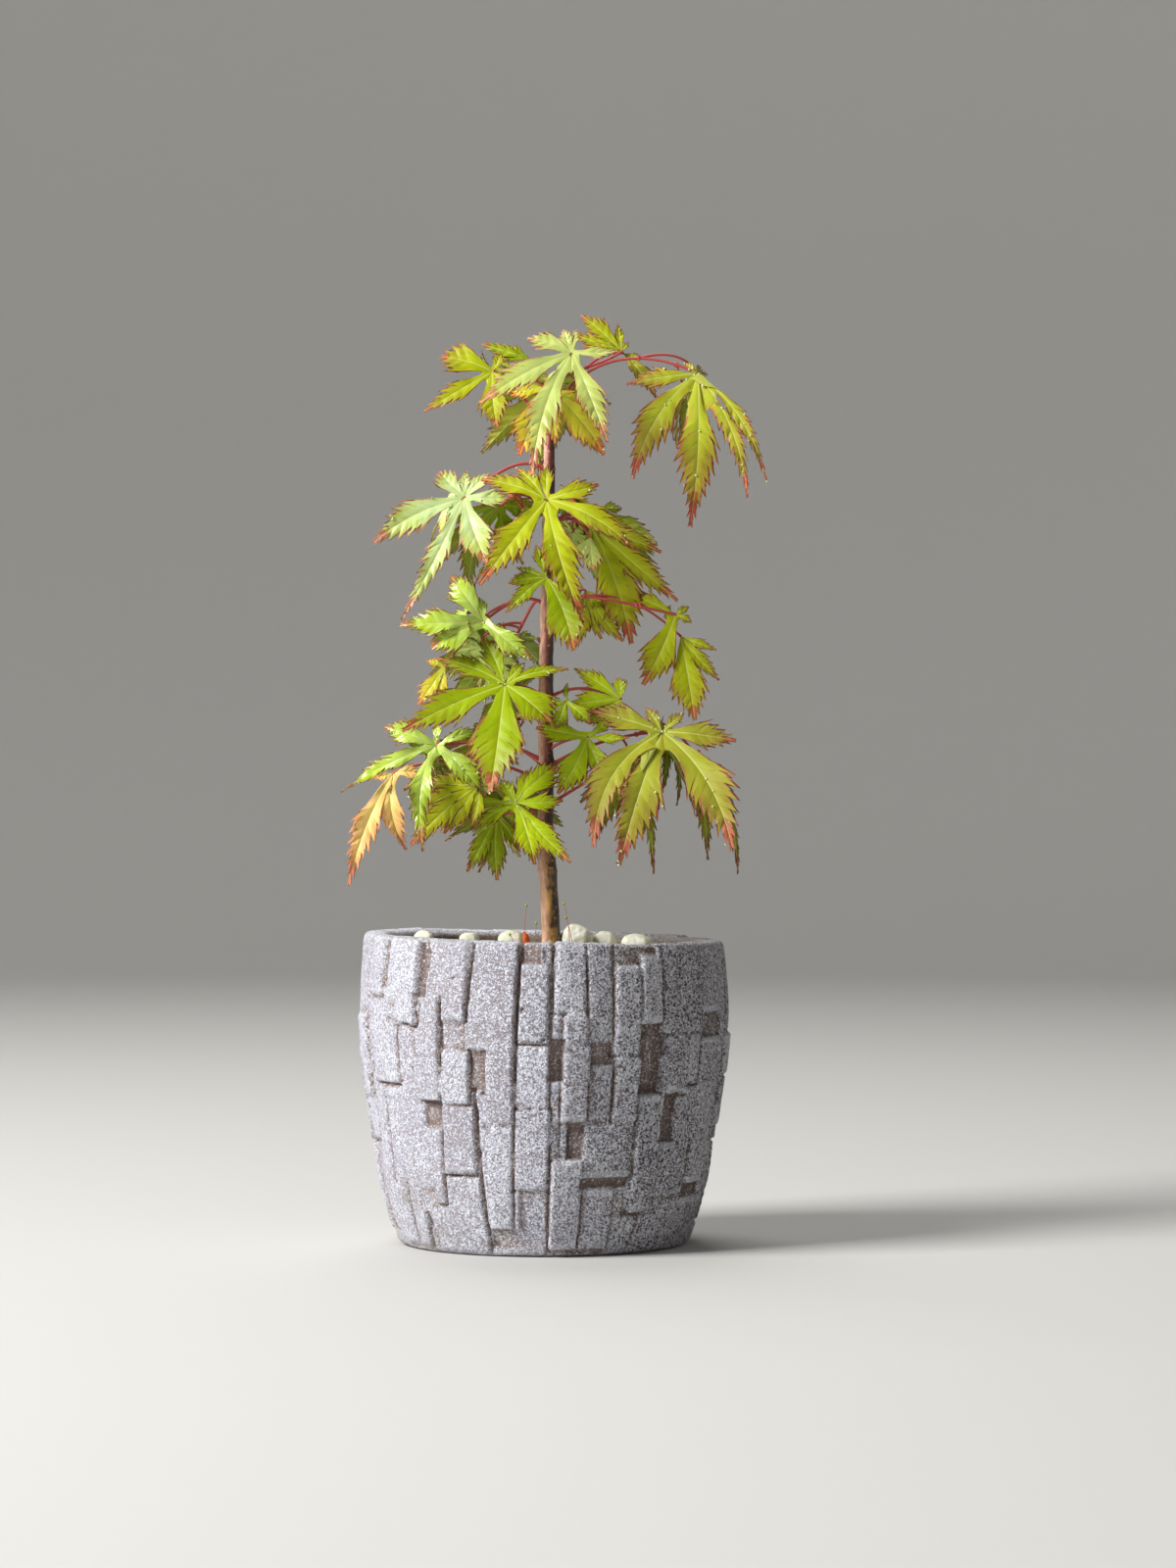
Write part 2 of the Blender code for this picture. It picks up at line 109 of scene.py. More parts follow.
# Angles past the last one of the front belong to the far side, whose blocks lie between the next two.
LAST_FRONT_ANGLE = 75
REAR_BLOCKS_FROM = 78.0
REAR_BLOCKS_TO = 278
BLOCK_LEAN = 0.035
BEVEL_DEPTH = 0.2
JOINT_DEPTH = 1.25
HOLE_DEPTH = 1.6

# Millimetres for each degree on the wall, and the height over which the blocks begin above the foot.
GROOVE_ARC = 1.15
FOOT_CLEAR = 2.5

# The pot's own map: where its three strips start, how large they are, and where its hidden parts lie.
STRIP_PLACES = ((0.005, 0.005), (0.505, 0.005), (0.005, 0.505))
STRIP_SIZE = 0.49
UNDERSIDE_MIDDLE = (0.62, 0.62)
INSIDE_MIDDLE = (0.85, 0.85)
HIDDEN_SCALE = 1.7

SOIL_LEVEL = 106.0
SOIL_EDGE = 55.6
SOIL_AROUND = 200
SOIL_RINGS = 70

# The soil's hidden side: radius and height, downwards.
SOIL_SIDE = ((55.3, 104.0), (58.2, 85.0), (55.7, 58.0), (49.7, 20.0), (43.7, 10.3))

# Crumbs lie up to this reach from the middle, and leave the trunk's foot free.
CRUMBS = 900
CRUMB_REACH = 53.5
CRUMB_FREE = 6.5
SOIL_COLOURS = (("soil", (58, 44, 34)), ("crumb_dark", (44, 32, 26)), ("crumb_brown", (84, 60, 44)),
                ("crumb_bark", (112, 78, 54)), ("crumb_grit", (140, 128, 112)))

# How much broader than its solid a pebble is made, and how much its other two sides grow. The powers bring
# its ball shape a little nearer to a box. Each kind of lump has a height and a size.
PEBBLE_GROWTH = {"pebble_3": 1.3, "pebble_2": 1.24, "pebble_4": 1.24}
USUAL_PEBBLE_GROWTH = 1.14
PEBBLE_SIDE_GROWTH = 1.05
PEBBLE_POWERS = (0.86, 0.86, 0.94)
PEBBLE_LUMPS = ((0.13, 4.5), (0.05, 1.8), (0.02, 0.6))

# The moss: the foot and the capsule of each of its stalks, and its leaves round their middle.
MOSS_STALKS = (((-7.3, -30, 107), (-6.1, -31, 123.5)), ((9.6, -30, 107), (7.4, -30, 124.2)),
               ((10.6, -31, 107), (8.2, -31, 119.3)), ((-2.2, -34, 107), (-2.5, -35, 117.3)),
               ((-10.0, -26, 107), (-12.0, -27, 113.0)))
MOSS_LEAVES = 150
MOSS_MIDDLE = (-3, -35)
MOSS_COLOURS = (("moss_green", (96, 128, 40), 0.6), ("moss_capsule", (150, 176, 60), 0.35),
                ("moss_stalk", (196, 116, 98), 0.5))

# The trunk: height, place and radius, from the soil to the fork.
TRUNK = ((106.3, 2.9, 0.0, 4.5), (109.0, 2.8, 0.0, 3.8), (113.0, 2.55, 0.0, 3.4), (121.0, 2.1, 0.0, 3.3),
         (130.0, 1.6, 0.1, 3.25), (135.0, 1.2, 0.1, 3.35), (143.0, 0.7, 0.2, 3.1), (155.0, 0.5, 0.3, 2.85),
         (168.0, 0.5, 0.3, 2.75), (180.0, 0.5, 0.4, 2.65), (199.0, 0.6, 0.4, 2.7), (218.0, 0.8, 0.3, 2.55),
         (233.0, 1.1, 0.2, 2.5), (245.0, 1.4, 0.0, 2.3), (262.0, 1.7, 0.0, 2.25), (282.0, 1.8, 0.0, 2.1),
         (297.0, 1.8, 0.0, 1.95), (311.0, 2.4, 0.5, 1.7))
# Small buds beside the trunk's nodes: height, turn round it from the right, and length.
TRUNK_BUDS = ((146.0, -25, 2.6), (218.5, 200, 2.2), (173.0, 215, 2.0), (262.5, -10, 1.8), (284.0, 190, 2.0))
TRUNK_AROUND = 48
TRUNK_STEP = 0.55
FLARE_TOP = 112.0
FLARE_HEIGHT = 6.0

# The bark at a node: how far each ring stands out, its place above the node, and its width.
NODE_RINGS = ((0.34, 0.0, 1.7), (-0.2, 1.1, 0.28), (-0.12, -0.7, 0.22))
TRUNK_NODES = (135.0, 149.0, 160.0, 168.0, 176.0, 199.0, 233.0, 247.0, 262.0, 282.0, 297.0, 304.0)

# Each spray: the height of its node on the trunk, and its leaves. A leaf has a tint, how far it leans
# forward for each millimetre that it drops, its foot, and its lobe tips in order: x, z and, where a lobe is
# narrower or wider than usual, by how much. A fourth value bows the lobe sideways: counterclockwise round the
# foot, as seen from the front, or clockwise where it is negative.
SPRAYS = {
    "top": (311, (
        ("lime", 0.2, (28.5, 4, 325.5), ((31, 329, 0.8), (27, 336, 0.8), (13.5, 339, 1.1), (11, 332),
                                         (14, 327))),
        ("olive", 0.2, (29, 6, 325), ((36, 315, 0.7), (41, 308.5), (37, 323, 0.6))))),
    "top_front": (307, (
        ("glaucous", 0.5, (10, -14, 323), ((7, 332, 1.2), (-6, 329, 1.4), (-23, 304), (-4, 277, 0.75),
                                           (23, 289, 0.85), (27, 324, 0.9), (12, 332))),)),
    "top_right": (303, (
        ("bronze", 0.2, (56, 0, 317), ((30, 313, 0.9), (32, 278, 1.0, -0.18), (53, 260, 0.95),
                                       (74, 271, 0.45, 0.3), (81, 277, 0.35, 0.36), (51, 321))),)),
    "top_left": (301, (
        ("lime", 0.3, (-19, 4, 318), ((-16, 325, 1.4), (-38, 324, 2.2), (-44, 303, 0.8), (-17, 297, 1.5),
                                      (-6, 309, 1.2))),
        ("fresh", 0.3, (-5, 10, 323), ((-14, 328), (-23, 329), (-18, 325))))),
    "under_top": (297, (
        ("yellow", 0.3, (1, -8, 311), ((-12, 308, 1.3), (-9, 286, 1.5), (4, 290), (22, 286, 1.3),
                                       (16, 305))),)),
    "upper_left": (282, (
        ("pale", 0.4, (-29, -10, 271), ((-28, 281), (-38, 281, 2.2), (-62, 254, 1.1, -0.2), (-51, 226, 0.5),
                                            (-20, 246, 1.5), (-12, 271, 1.2), (-20, 280, 1.2))),)),
    "upper_front": (266, (
        ("lime", 0.6, (1, -14, 270), ((-10, 282), (-23, 278), (-23, 238), (14, 225, 0.9),
                                      (33, 251, 1.0, 0.25), (20, 276, 1.2), (1, 283))),)),
    "upper_right": (262, (
        ("lime", 0.1, (17, 7, 262), ((16, 246), (32, 218, 1.5), (49, 234, 0.85), (43, 252), (32, 261))),
        ("glaucous", 0.2, (17, -2, 257), ((12, 249, 2.0), (18, 245, 2.2))))),
    "centre": (238, (
        ("fresh", 0.4, (1, -9, 242), ((-3, 254), (-10, 246, 0.8), (-13, 240, 1.3), (-14, 229, 0.8),
                                      (11, 215, 1.8), (15, 231))),)),
    "middle_left": (233, (
        ("glossy", 0.3, (-22, -10, 226), ((-34, 243, 1.6), (-52.5, 225, 1.2), (-41, 216, 2.4),
                                          (-4, 212, 1.2), (-23.5, 235))),
        ("yellow", 0.2, (-36, 0, 210), ((-43, 212), (-46, 196, 1.2), (-39, 197))))),
    "middle_front": (199, (
        ("fresh", 0.6, (-14, -16, 203), ((-23, 221), (-39, 213), (-51, 186, 1.15), (-19, 164, 1.6),
                                         (3, 189, 2.2), (9, 209, 0.7), (-7, 211))),)),
    "middle_right": (233, (
        ("lime", 0.2, (48, 2, 229), ((31, 237), (36, 203, 1.5), (54, 226), (53, 232))),
        ("lime", 0.2, (50, 2, 221), ((63, 216, 0.7), (64, 205, 0.8), (55, 190, 1.5))),
        ("lime", 0.2, (15, 4, 238), ((12, 217), (21, 220), (29, 219), (30, 228))))),
    "inner_right": (199, (
        ("bright", 0.2, (28, 2, 198), ((27, 206, 1.7), (11, 209.5, 1.0), (9, 195, 1.5), (16, 189, 1.7),
                                       (29, 190))),)),
    "inner_low_right": (180, (
        ("bright", 0.4, (16, -8, 184), ((31, 184, 0.7), (25, 191, 0.9), (-3, 187.5, 1.4), (5, 163.5, 1.5),
                                      (21.5, 170.5, 1.5))),
        ("fresh", 0.3, (8, -9, 197), ((-2, 194, 1.6), (4, 187, 1.4), (17, 189, 1.3), (8.5, 204, 0.7))))),
    "low_left": (176, (
        ("glossy", 0.5, (-39, -14, 181), ((-38, 189), (-58, 188, 1.4), (-73, 164, 0.7),
                                          (-43, 143, 0.7, -0.3), (-21, 162, 1.3), (-23, 187, 0.8))),
        ("orange", 0.2, (-21, -6, 184), ((-28, 181, 1.2), (-27, 176, 1.4), (-20, 174, 1.2))),
        ("lime", 0.2, (-23, -18, 167), ((-27, 174), (-42, 168, 1.5), (-44, 158, 1.5), (-48, 145, 1.2),
                                       (-36, 149, 1.2), (-26, 152))))),
    "far_left": (168, (
        ("orange", 0.2, (-55, -2, 171), ((-62, 169), (-71, 130, 0.72, -0.34), (-50, 143, 0.95, -0.34),
                                         (-45, 171, 1.4))),)),
    "low_front": (149, (
        ("bright", 0.5, (-10, -14, 160), ((7, 161, 1.2), (5, 174, 1.7), (-6, 172, 1.2), (-16, 169, 1.2),
                                         (-39, 157, 0.7), (-25, 151), (-3, 138, 1.3), (10, 139))),
        ("fresh", 0.2, (-17, -4, 155), ((-28, 135), (-17, 132, 1.2), (-9, 143))))),
    "low_right": (174, (
        ("olive", 0.5, (43, -6, 186), ((37, 195), (17, 194, 1.3), (18, 144, 1.1, -0.34),
                                       (27, 138, 1.2, 0.1), (68, 143, 1.15, 0.19), (70, 183, 1.2),
                                       (51, 193))),
        ("deep", 0.2, (32, 8, 176), ((13, 160), (19, 147), (40, 134, 0.4), (37, 167))))),
    "low_right_rear": (160, (
        ("deep", 0.2, (57, 14, 179), ((60, 139, 0.5, 0.2), (71, 134, 0.35, 0.37), (67, 160))),)),
}
# How many more leaves the branching rule grows on each spray, and how often it tries for each.
GROWN_LEAVES = {"top_front": 2, "top_right": 2, "top_left": 1, "upper_left": 2, "upper_front": 2,
                "upper_right": 1, "centre": 1, "middle_left": 1, "middle_front": 2, "middle_right": 2,
                "inner_right": 1, "low_left": 2, "low_front": 1, "low_right": 2, "low_right_rear": 1}
GROWN_TRIES = 40

# A grown leaf's size beside the first one, and how far it swings round in degrees: first on the front sprays,
# then on the rear ones. The margin is how far beside a lobe, in shares of its length, counts as hidden by it.
GROWN_SCALES = ((0.5, 0.72), (0.62, 0.88))
GROWN_SWINGS = ((60, 110), (20, 70))
GROWN_SPIN = 18
HIDING_MARGIN = 0.015

# The camera's place. The leaves that grow behind others are chosen from there, so that gaps stay open.
EYE = np.array((16.0, -1575.0, 167.0))

# Sprays on the far side: node height, turn round the trunk, foot distance and height, length, and tint.
REAR_SPRAYS = {
    "rear_top": (304, 95, 20, 314, 40, "lime"),
    "rear_upper_left": (282, 135, 26, 270, 40, "fresh"),
    "rear_upper_right": (262, 50, 27, 268, 42, "fresh"),
    "rear_middle": (233, 122, 26, 220, 38, "glossy"),
    "rear_low_left": (174, 134, 32, 184, 40, "olive"),
    "rear_low": (149, 112, 24, 161, 35, "fresh"),
}

# A rear leaf's drop for its length, how many more grow beside it, and how far it may spin. Then the turns of
# its lobes in degrees, and their lengths beside the longest.
REAR_DROP = 0.8
REAR_GROWN = 3
REAR_SPIN = 25
REAR_ANGLES = (-112, -74, -38, 0, 38, 74, 112)
REAR_REACHES = (0.3, 0.64, 0.93, 1.0, 0.93, 0.64, 0.3)

# In metres: the reach of the pale bowl's floor, its curve and top, and how far it lies under the pot. Each
# light has a name, place, aim, size, power in watts and colour. Lens and sensor are in millimetres.
BOWL_FLOOR = 2.2
BOWL_CURVE = 1.2
BOWL_TOP = 4.0
BOWL_AROUND = 96
UNDER_POT = 0.0002
LIGHTS = (("window", (-1.6, -0.85, 1.4), (0, 0, 0.18), 0.9, 74.0, (1.0, 0.99, 0.97)),
          ("room", (1.7, -0.9, 0.6), (0, 0, 0.2), 1.4, 0.4, (0.96, 0.98, 1.0)),
          ("above", (-0.2, 0.8, 1.8), (0, 0, 0.2), 1.0, 14.0, (1.0, 1.0, 1.0)))
SKY_COLOUR = (0.85, 0.88, 0.92, 1.0)
SKY_STRENGTH = 0.06
LENS = 99.0
SENSOR_WIDTH = 36.0

# Leaf colours as seen: the blade inwards and outwards, its margin and its lobe tips.
TINTS = {
    "lime": ((176, 188, 14), (160, 154, 26), (156, 82, 50), (188, 80, 70)),
    "fresh": ((152, 176, 10), (144, 152, 20), (146, 82, 48), (176, 78, 66)),
    "bright": ((176, 202, 20), (164, 174, 22), (150, 84, 48), (180, 80, 66)),
    "glossy": ((186, 214, 96), (164, 186, 36), (146, 92, 54), (172, 90, 66)),
    "glaucous": ((190, 206, 112), (182, 188, 88), (190, 112, 84), (214, 122, 108)),
    "bronze": ((176, 186, 42), (178, 148, 60), (172, 80, 64), (202, 76, 76)),
    "pale": ((208, 232, 164), (192, 206, 96), (184, 104, 84), (208, 112, 106)),
    "olive": ((160, 166, 42), (156, 138, 54), (154, 78, 62), (180, 84, 78)),
    "deep": ((136, 156, 26), (132, 128, 36), (126, 72, 46), (148, 74, 54)),
    "yellow": ((208, 206, 50), (208, 184, 58), (204, 106, 56), (212, 94, 68)),
    "orange": ((244, 210, 126), (242, 184, 116), (236, 148, 110), (232, 124, 98)),
}
RIB_TINT = (212, 212, 130)
UNDERSIDE_TINT = (188, 204, 142)
UNDERSIDE_SHARE = 0.34
CURL = {"glossy": 2.4, "deep": 1.4, "orange": 1.5}

# Roughness and specular level of a leaf's upper side, where they aren't the usual ones.
GLOSS = {"glossy": 0.24, "glaucous": 0.34, "pale": 0.34, "bright": 0.34, "fresh": 0.4}
USUAL_GLOSS = 0.48
UNDERSIDE_GLOSS = 0.6
SHEEN_LEVEL = {"glossy": 0.5, "glaucous": 0.4, "pale": 0.4}
LEAF_SHEEN_LEVEL = 0.24
USUAL_SHEEN_LEVEL = 0.5

# A leaf's finishes in their order on its piece: the rib, the blade from its middle out, the margin and the
# tips. The last two begin at these shares of the way out, and along.
RIB_SLOT = 0
FIRST_BLADE_SLOT = 1
BLADE_SHADES = 4
MARGIN_SLOT = FIRST_BLADE_SLOT + BLADE_SHADES
TIP_SLOT = MARGIN_SLOT + 1
LEAF_SLOTS = TIP_SLOT + 1
MARGIN_FROM = 0.95
TIP_FROM = 0.84

# Size and depth of a leaf's fine grain, the blade's thickness, and how near two points of a leaf are welded.
LEAF_GRAIN = (0.5, 0.05)
LEAF_THICKNESS = 0.28
WELD_DISTANCE = 0.02

# The width and bow of a lobe for which nothing else is said.
USUAL_SHAPE = (1.0, 0.0)

# The shape of a lobe, in shares of its length where it isn't said otherwise.
LOBE_HALF_WIDTH = 0.124
LOBE_BASE_WIDTH = 0.042
WIDEST_AT = 0.42
WIDEST_LOBE = 2.6
TEETH_FROM = 0.27
TEETH_TO = 0.98
TEETH = 7.2
FEWEST_TEETH = 4
TOOTH_SIZE = 0.052
USUAL_LENGTH = 52.0
SHORT_LOBE_GROWTH = 0.22
VEIN_SLANT = 0.8
SINUS_WIDTH = 0.062
SINUS_FADE = 0.2
RIPPLE_HEIGHT = 0.011

# Of one tooth: share of its stretch, how far it stands out and slides forward, and its phase in the blade's
# quilting. The first rise is the small tooth on the back of the large one.
TOOTH_OUTLINE = ((0.2, -0.1, 0.0, 0.2), (0.4, 0.4, 0.15, 0.4), (0.47, 0.05, 0.02, 0.5),
                 (0.78, 1.0, 0.45, 0.78), (1.0, -0.5, 0.0, 1.0))

# One turn in radians for the ripple, and for the quilting. The leaves' welds depend on these very digits.
RIPPLE_TURN = 6.28
QUILT_TURN = 6.283

# In millimetres: the height of the quilting between veins, and the midrib's half width, taper and depth.
QUILT_HEIGHT = 0.15
RIB_HALF_WIDTH = 0.34
RIB_TAPER = 0.26
RIB_DEPTH = 0.12

# Where the rows inside the sinus lie, and the columns of a lobe's half, from its midrib to its margin.
INNER_ROWS = (0.0, 0.3, 0.6, 0.85, 1.0)
COLUMNS = np.array((0.0, 0.42, 0.86, 1.0))

# The tangent that stands for the room at a leaf's outer edge, where a lobe has no neighbour.
OPEN_ROOM = 9.0

# Stalks: points along and round them, and how far behind the blade they end.
STALK_POINTS = 40
STALK_AROUND = 12
SIDE_STALK_POINTS = 24
SIDE_STALK_AROUND = 10
STALK_GAP = 0.2

# Curve handles for the stalks that the photo shows well: two from the fork, and a long one at the right.
STALK_HANDLES = {"top": ((6, 1, 319), (18, 2, 318)), "top_right": ((14, 0, 324), (36, 1, 327)),
                 "middle_right": ((10, -1, 239), (28, -3, 233))}

# How many beads of water lie on the first leaf of a spray.
DROPS = {"top_right": 26, "upper_front": 12, "middle_left": 14, "middle_front": 12, "low_right": 30,
         "low_left": 12, "under_top": 14, "upper_left": 8, "low_front": 8, "centre": 6,
         "inner_low_right": 5}


# Small tools

def linear(colour):
    """A colour as seen on screen, turned into the linear values that a shader takes."""
    def one(value):
        share = value / 255
        return share / 12.92 if share <= 0.04045 else ((share + 0.055) / 1.055) ** 2.4
    return tuple(one(value) for value in colour)


def mixed(first, second, share):
    return tuple(a + (b - a) * share for a, b in zip(first, second))


def between(stations, height):
    """The values that a table of stations, rising in its first column, has at this height."""
    for low, high in zip(stations, stations[1:]):
        if height <= high[0]:
            share = min(max((height - low[0]) / (high[0] - low[0]), 0.0), 1.0)
            return tuple(a + (b - a) * share for a, b in zip(low[1:], high[1:]))
    return stations[-1][1:]


def smooth_step(low, high, value):
    share = np.clip((value - low) / (high - low), 0.0, 1.0)
    return share * share * (3.0 - 2.0 * share)


def unit(vector):
    return vector / np.linalg.norm(vector)


def noise_at(points, size, seed):
    """Smooth noise from about -1 to 1 at each point, with lumps of this size in millimetres."""
    shift = Vector((seed * 7.1, seed * 3.7, seed * 1.9))
    return np.array([noise.noise(Vector(point) / size + shift) for point in points])


def add_node(tree, kind, links=(), **values):
    """A shader node with its named settings, and its inputs set or linked by name or number."""
    made = tree.nodes.new(kind)
    for name, value in values.items():
        setattr(made, name, value)
    for key, value in links:
        if isinstance(value, bpy.types.NodeSocket):
            tree.links.new(value, made.inputs[key])
        else:
            made.inputs[key].default_value = value
    return made


def new_material(name, roughness, sheen_level=USUAL_SHEEN_LEVEL):
    """A new material, with its node tree and its shader."""
    material = bpy.data.materials.new(name)
    material.use_nodes = True
    tree = material.node_tree
    shader = tree.nodes["Principled BSDF"]
    shader.inputs["Roughness"].default_value = roughness
    shader.inputs["Specular IOR Level"].default_value = sheen_level
    return material, tree, shader


def own_place(tree):
    """The piece's own coordinates, on which a pattern stays in place."""
    return add_node(tree, "ShaderNodeTexCoord").outputs["Object"]


def own_value(tree, name):
    """The value of this name that the piece keeps for its points."""
    return add_node(tree, "ShaderNodeAttribute", attribute_name=name).outputs["Fac"]


def colour_ramp(tree, value, stops):
    """A ramp of seen colours at these positions."""
    ramp = add_node(tree, "ShaderNodeValToRGB", (("Fac", value),))
    elements = ramp.color_ramp.elements
    while len(elements) < len(stops):
        elements.new(0.5)
    for element, (position, colour) in zip(elements, stops):
        element.position = position
        element.color = (*linear(colour), 1.0)
    return ramp.outputs[0]


def mix_colours(tree, share, first, second):
    """The first colour where the share is 0, and the second where it is 1."""
    made = add_node(tree, "ShaderNodeMix", data_type="RGBA")
    for key, value in ((0, share), (6, first), (7, second)):
        if isinstance(value, bpy.types.NodeSocket):
            tree.links.new(value, made.inputs[key])
        else:
            made.inputs[key].default_value = value if key == 0 else (*linear(value), 1.0)
    return made.outputs[2]


def math_node(tree, operation, first, second=0.5):
    return add_node(tree, "ShaderNodeMath", ((0, first), (1, second)), operation=operation).outputs[0]


def spread(tree, value, low, high, start=0.0, end=1.0):
    """Maps a value from low to high onto start to end, clamped."""
    return add_node(tree, "ShaderNodeMapRange", (("Value", value), ("From Min", low), ("From Max", high),
                                                 ("To Min", start), ("To Max", end))).outputs[0]


def noise_node(tree, place, size, detail=3.0, roughness=0.5, distortion=0.0, stretch=(1, 1, 1)):
    """Noise from 0 to 1 at this place, with lumps of this size in millimetres."""
    scaled = add_node(tree, "ShaderNodeMapping", (("Vector", place), ("Scale", stretch))).outputs[0]
    return add_node(tree, "ShaderNodeTexNoise", (("Vector", scaled), ("Scale", 1 / (size * MM)),
                                                 ("Detail", detail), ("Roughness", roughness),
                                                 ("Distortion", distortion))).outputs[0]


def add_bump(tree, shader, height, depth):
    """Gives the shader a fine relief of this depth in millimetres."""
    bump = add_node(tree, "ShaderNodeBump", (("Height", height), ("Strength", 1.0),
                                             ("Distance", depth * MM)))
    tree.links.new(bump.outputs[0], shader.inputs["Normal"])


def make_material(name, colour, roughness, grain_size=0.0, grain_depth=0.0, sheen_level=USUAL_SHEEN_LEVEL):
    """A plain colour with, where a depth is given, a fine grain of this size and depth in millimetres."""
    material, tree, shader = new_material(name, roughness, sheen_level)
    shader.inputs["Base Color"].default_value = (*linear(colour), 1.0)
    if grain_depth:
        add_bump(tree, shader, noise_node(tree, own_place(tree), grain_size, 4.0), grain_depth)
    return material


def make_object(name, points, faces, materials, face_materials=None, smooth_angle=60):
    """A mesh object from points in millimetres, shaded smooth up to this angle."""
    mesh = bpy.data.meshes.new(name)
    places = [tuple(point) for point in np.asarray(points) * MM]
    mesh.from_pydata(places, [], [list(face) for face in faces])
    for material in materials:
        mesh.materials.append(material)
    if face_materials is not None:
        mesh.polygons.foreach_set("material_index", np.asarray(face_materials, np.int32))
    mesh.shade_smooth()
    mesh.set_sharp_from_angle(angle=math.radians(smooth_angle))
    mesh.update()
    made = bpy.data.objects.new(name, mesh)
    bpy.context.scene.collection.objects.link(made)
    return made


def finish_piece(piece, finish, *nodes):
    """Ties a finished piece to the object, and hides the solids that it stands for."""
    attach(piece, "root")
    if nodes:
        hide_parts(*nodes)


def only_select(thing):
    bpy.ops.object.select_all(action="DESELECT")
    thing.select_set(True)
    bpy.context.view_layer.objects.active = thing


def ring_faces(rings, around):
    """Quads between rings of points, each ring closed."""
    faces = []
    for ring in range(rings - 1):
        for step in range(around):
            turn = (step + 1) % around
            faces.append((ring * around + step, ring * around + turn,
                          (ring + 1) * around + turn, (ring + 1) * around + step))
    return faces


def tube(points, radii, around):
    """Points and faces of a closed tube of these radii along a line, with rounded ends."""
    points = np.asarray(points, float)
    radii = np.asarray(radii, float)
    ways = np.gradient(points, axis=0)
    ways /= np.linalg.norm(ways, axis=1)[:, None]
    side = np.cross(ways[0], (0.0, 1.0, 0.0) if abs(ways[0][1]) < 0.9 else (1.0, 0.0, 0.0))
    turns = np.linspace(0, math.tau, around, endpoint=False)
    rings = []
    for place, way, radius in zip(points, ways, radii):
        side = unit(side - way * side.dot(way))
        other = np.cross(way, side)
        rings.append(place + radius * (np.outer(np.cos(turns), side) + np.outer(np.sin(turns), other)))
    faces = ring_faces(len(points), around)
    places = np.concatenate([*rings, [points[0] - ways[0] * radii[0] * 0.5],
                             [points[-1] + ways[-1] * radii[-1] * 0.6]])
    first = len(places) - 2
    last_ring = (len(points) - 1) * around
    for step in range(around):
        turn = (step + 1) % around
        faces.append((first, turn, step))
        faces.append((first + 1, last_ring + step, last_ring + turn))
    return places, faces


def join_parts(parts):
    """One list of points and one of faces, from parts that each have their own."""
    points = np.concatenate([part[0] for part in parts])
    faces = []
    count = 0
    for places, part_faces in parts:
        faces += [[corner + count for corner in face] for face in part_faces]
        count += len(places)
    return points, faces


def point_values(piece, name, values):
    """Keeps one value for each point of a piece, which its material reads by this name."""
    attribute = piece.data.attributes.new(name, "FLOAT", "POINT")
    attribute.data.foreach_set("value", np.asarray(values, np.float32))


def curve_points(start, first, second, end, count):
    """Points on the smooth curve that the two middle places pull on."""
    share = np.linspace(0, 1, count)[:, None]
    rest = 1 - share
    return (start * rest ** 3 + first * 3 * share * rest ** 2 + second * 3 * share ** 2 * rest
            + end * share ** 3)


# Leaves

def lobe_half_width(share):
    """Half the width of a lobe, as a share of its length, at each share of the way along its midrib."""
    widening = LOBE_BASE_WIDTH + (LOBE_HALF_WIDTH - LOBE_BASE_WIDTH) * smooth_step(0.1, WIDEST_AT, share)
    past = np.clip((share - WIDEST_AT) / (1 - WIDEST_AT), 0, 1)
    return widening * (1 - past) ** 1.25 * (1 + 0.2 * past)


def tooth_rows(start, length, draw):
    """Rows from the sinus to the tip: share along, how far the margin stands out and slides forward as
    shares of the length, and which tooth it is in. Each tooth has a smaller one on its back."""
    rows = [(share, 0.0, 0.0, 0.0) for share in np.linspace(start, TEETH_FROM, 5)[1:]]
    count = max(FEWEST_TEETH, round(TEETH * math.sqrt(length / USUAL_LENGTH)))
    span = TEETH_TO - TEETH_FROM
    for tooth in range(count):
        low, high = (TEETH_FROM + span * (number / count) ** 0.92 for number in (tooth, tooth + 1))
        step = high - low
        size = TOOTH_SIZE * draw.uniform(0.75, 1.3) * (1.12 - low)
        for share, out, forward, phase in TOOTH_OUTLINE:
            rows.append((low + share * step, out * size, forward * step, tooth + phase))
    rows.append((1.0, 0.0, 0.0, count + 1.0))
    return rows


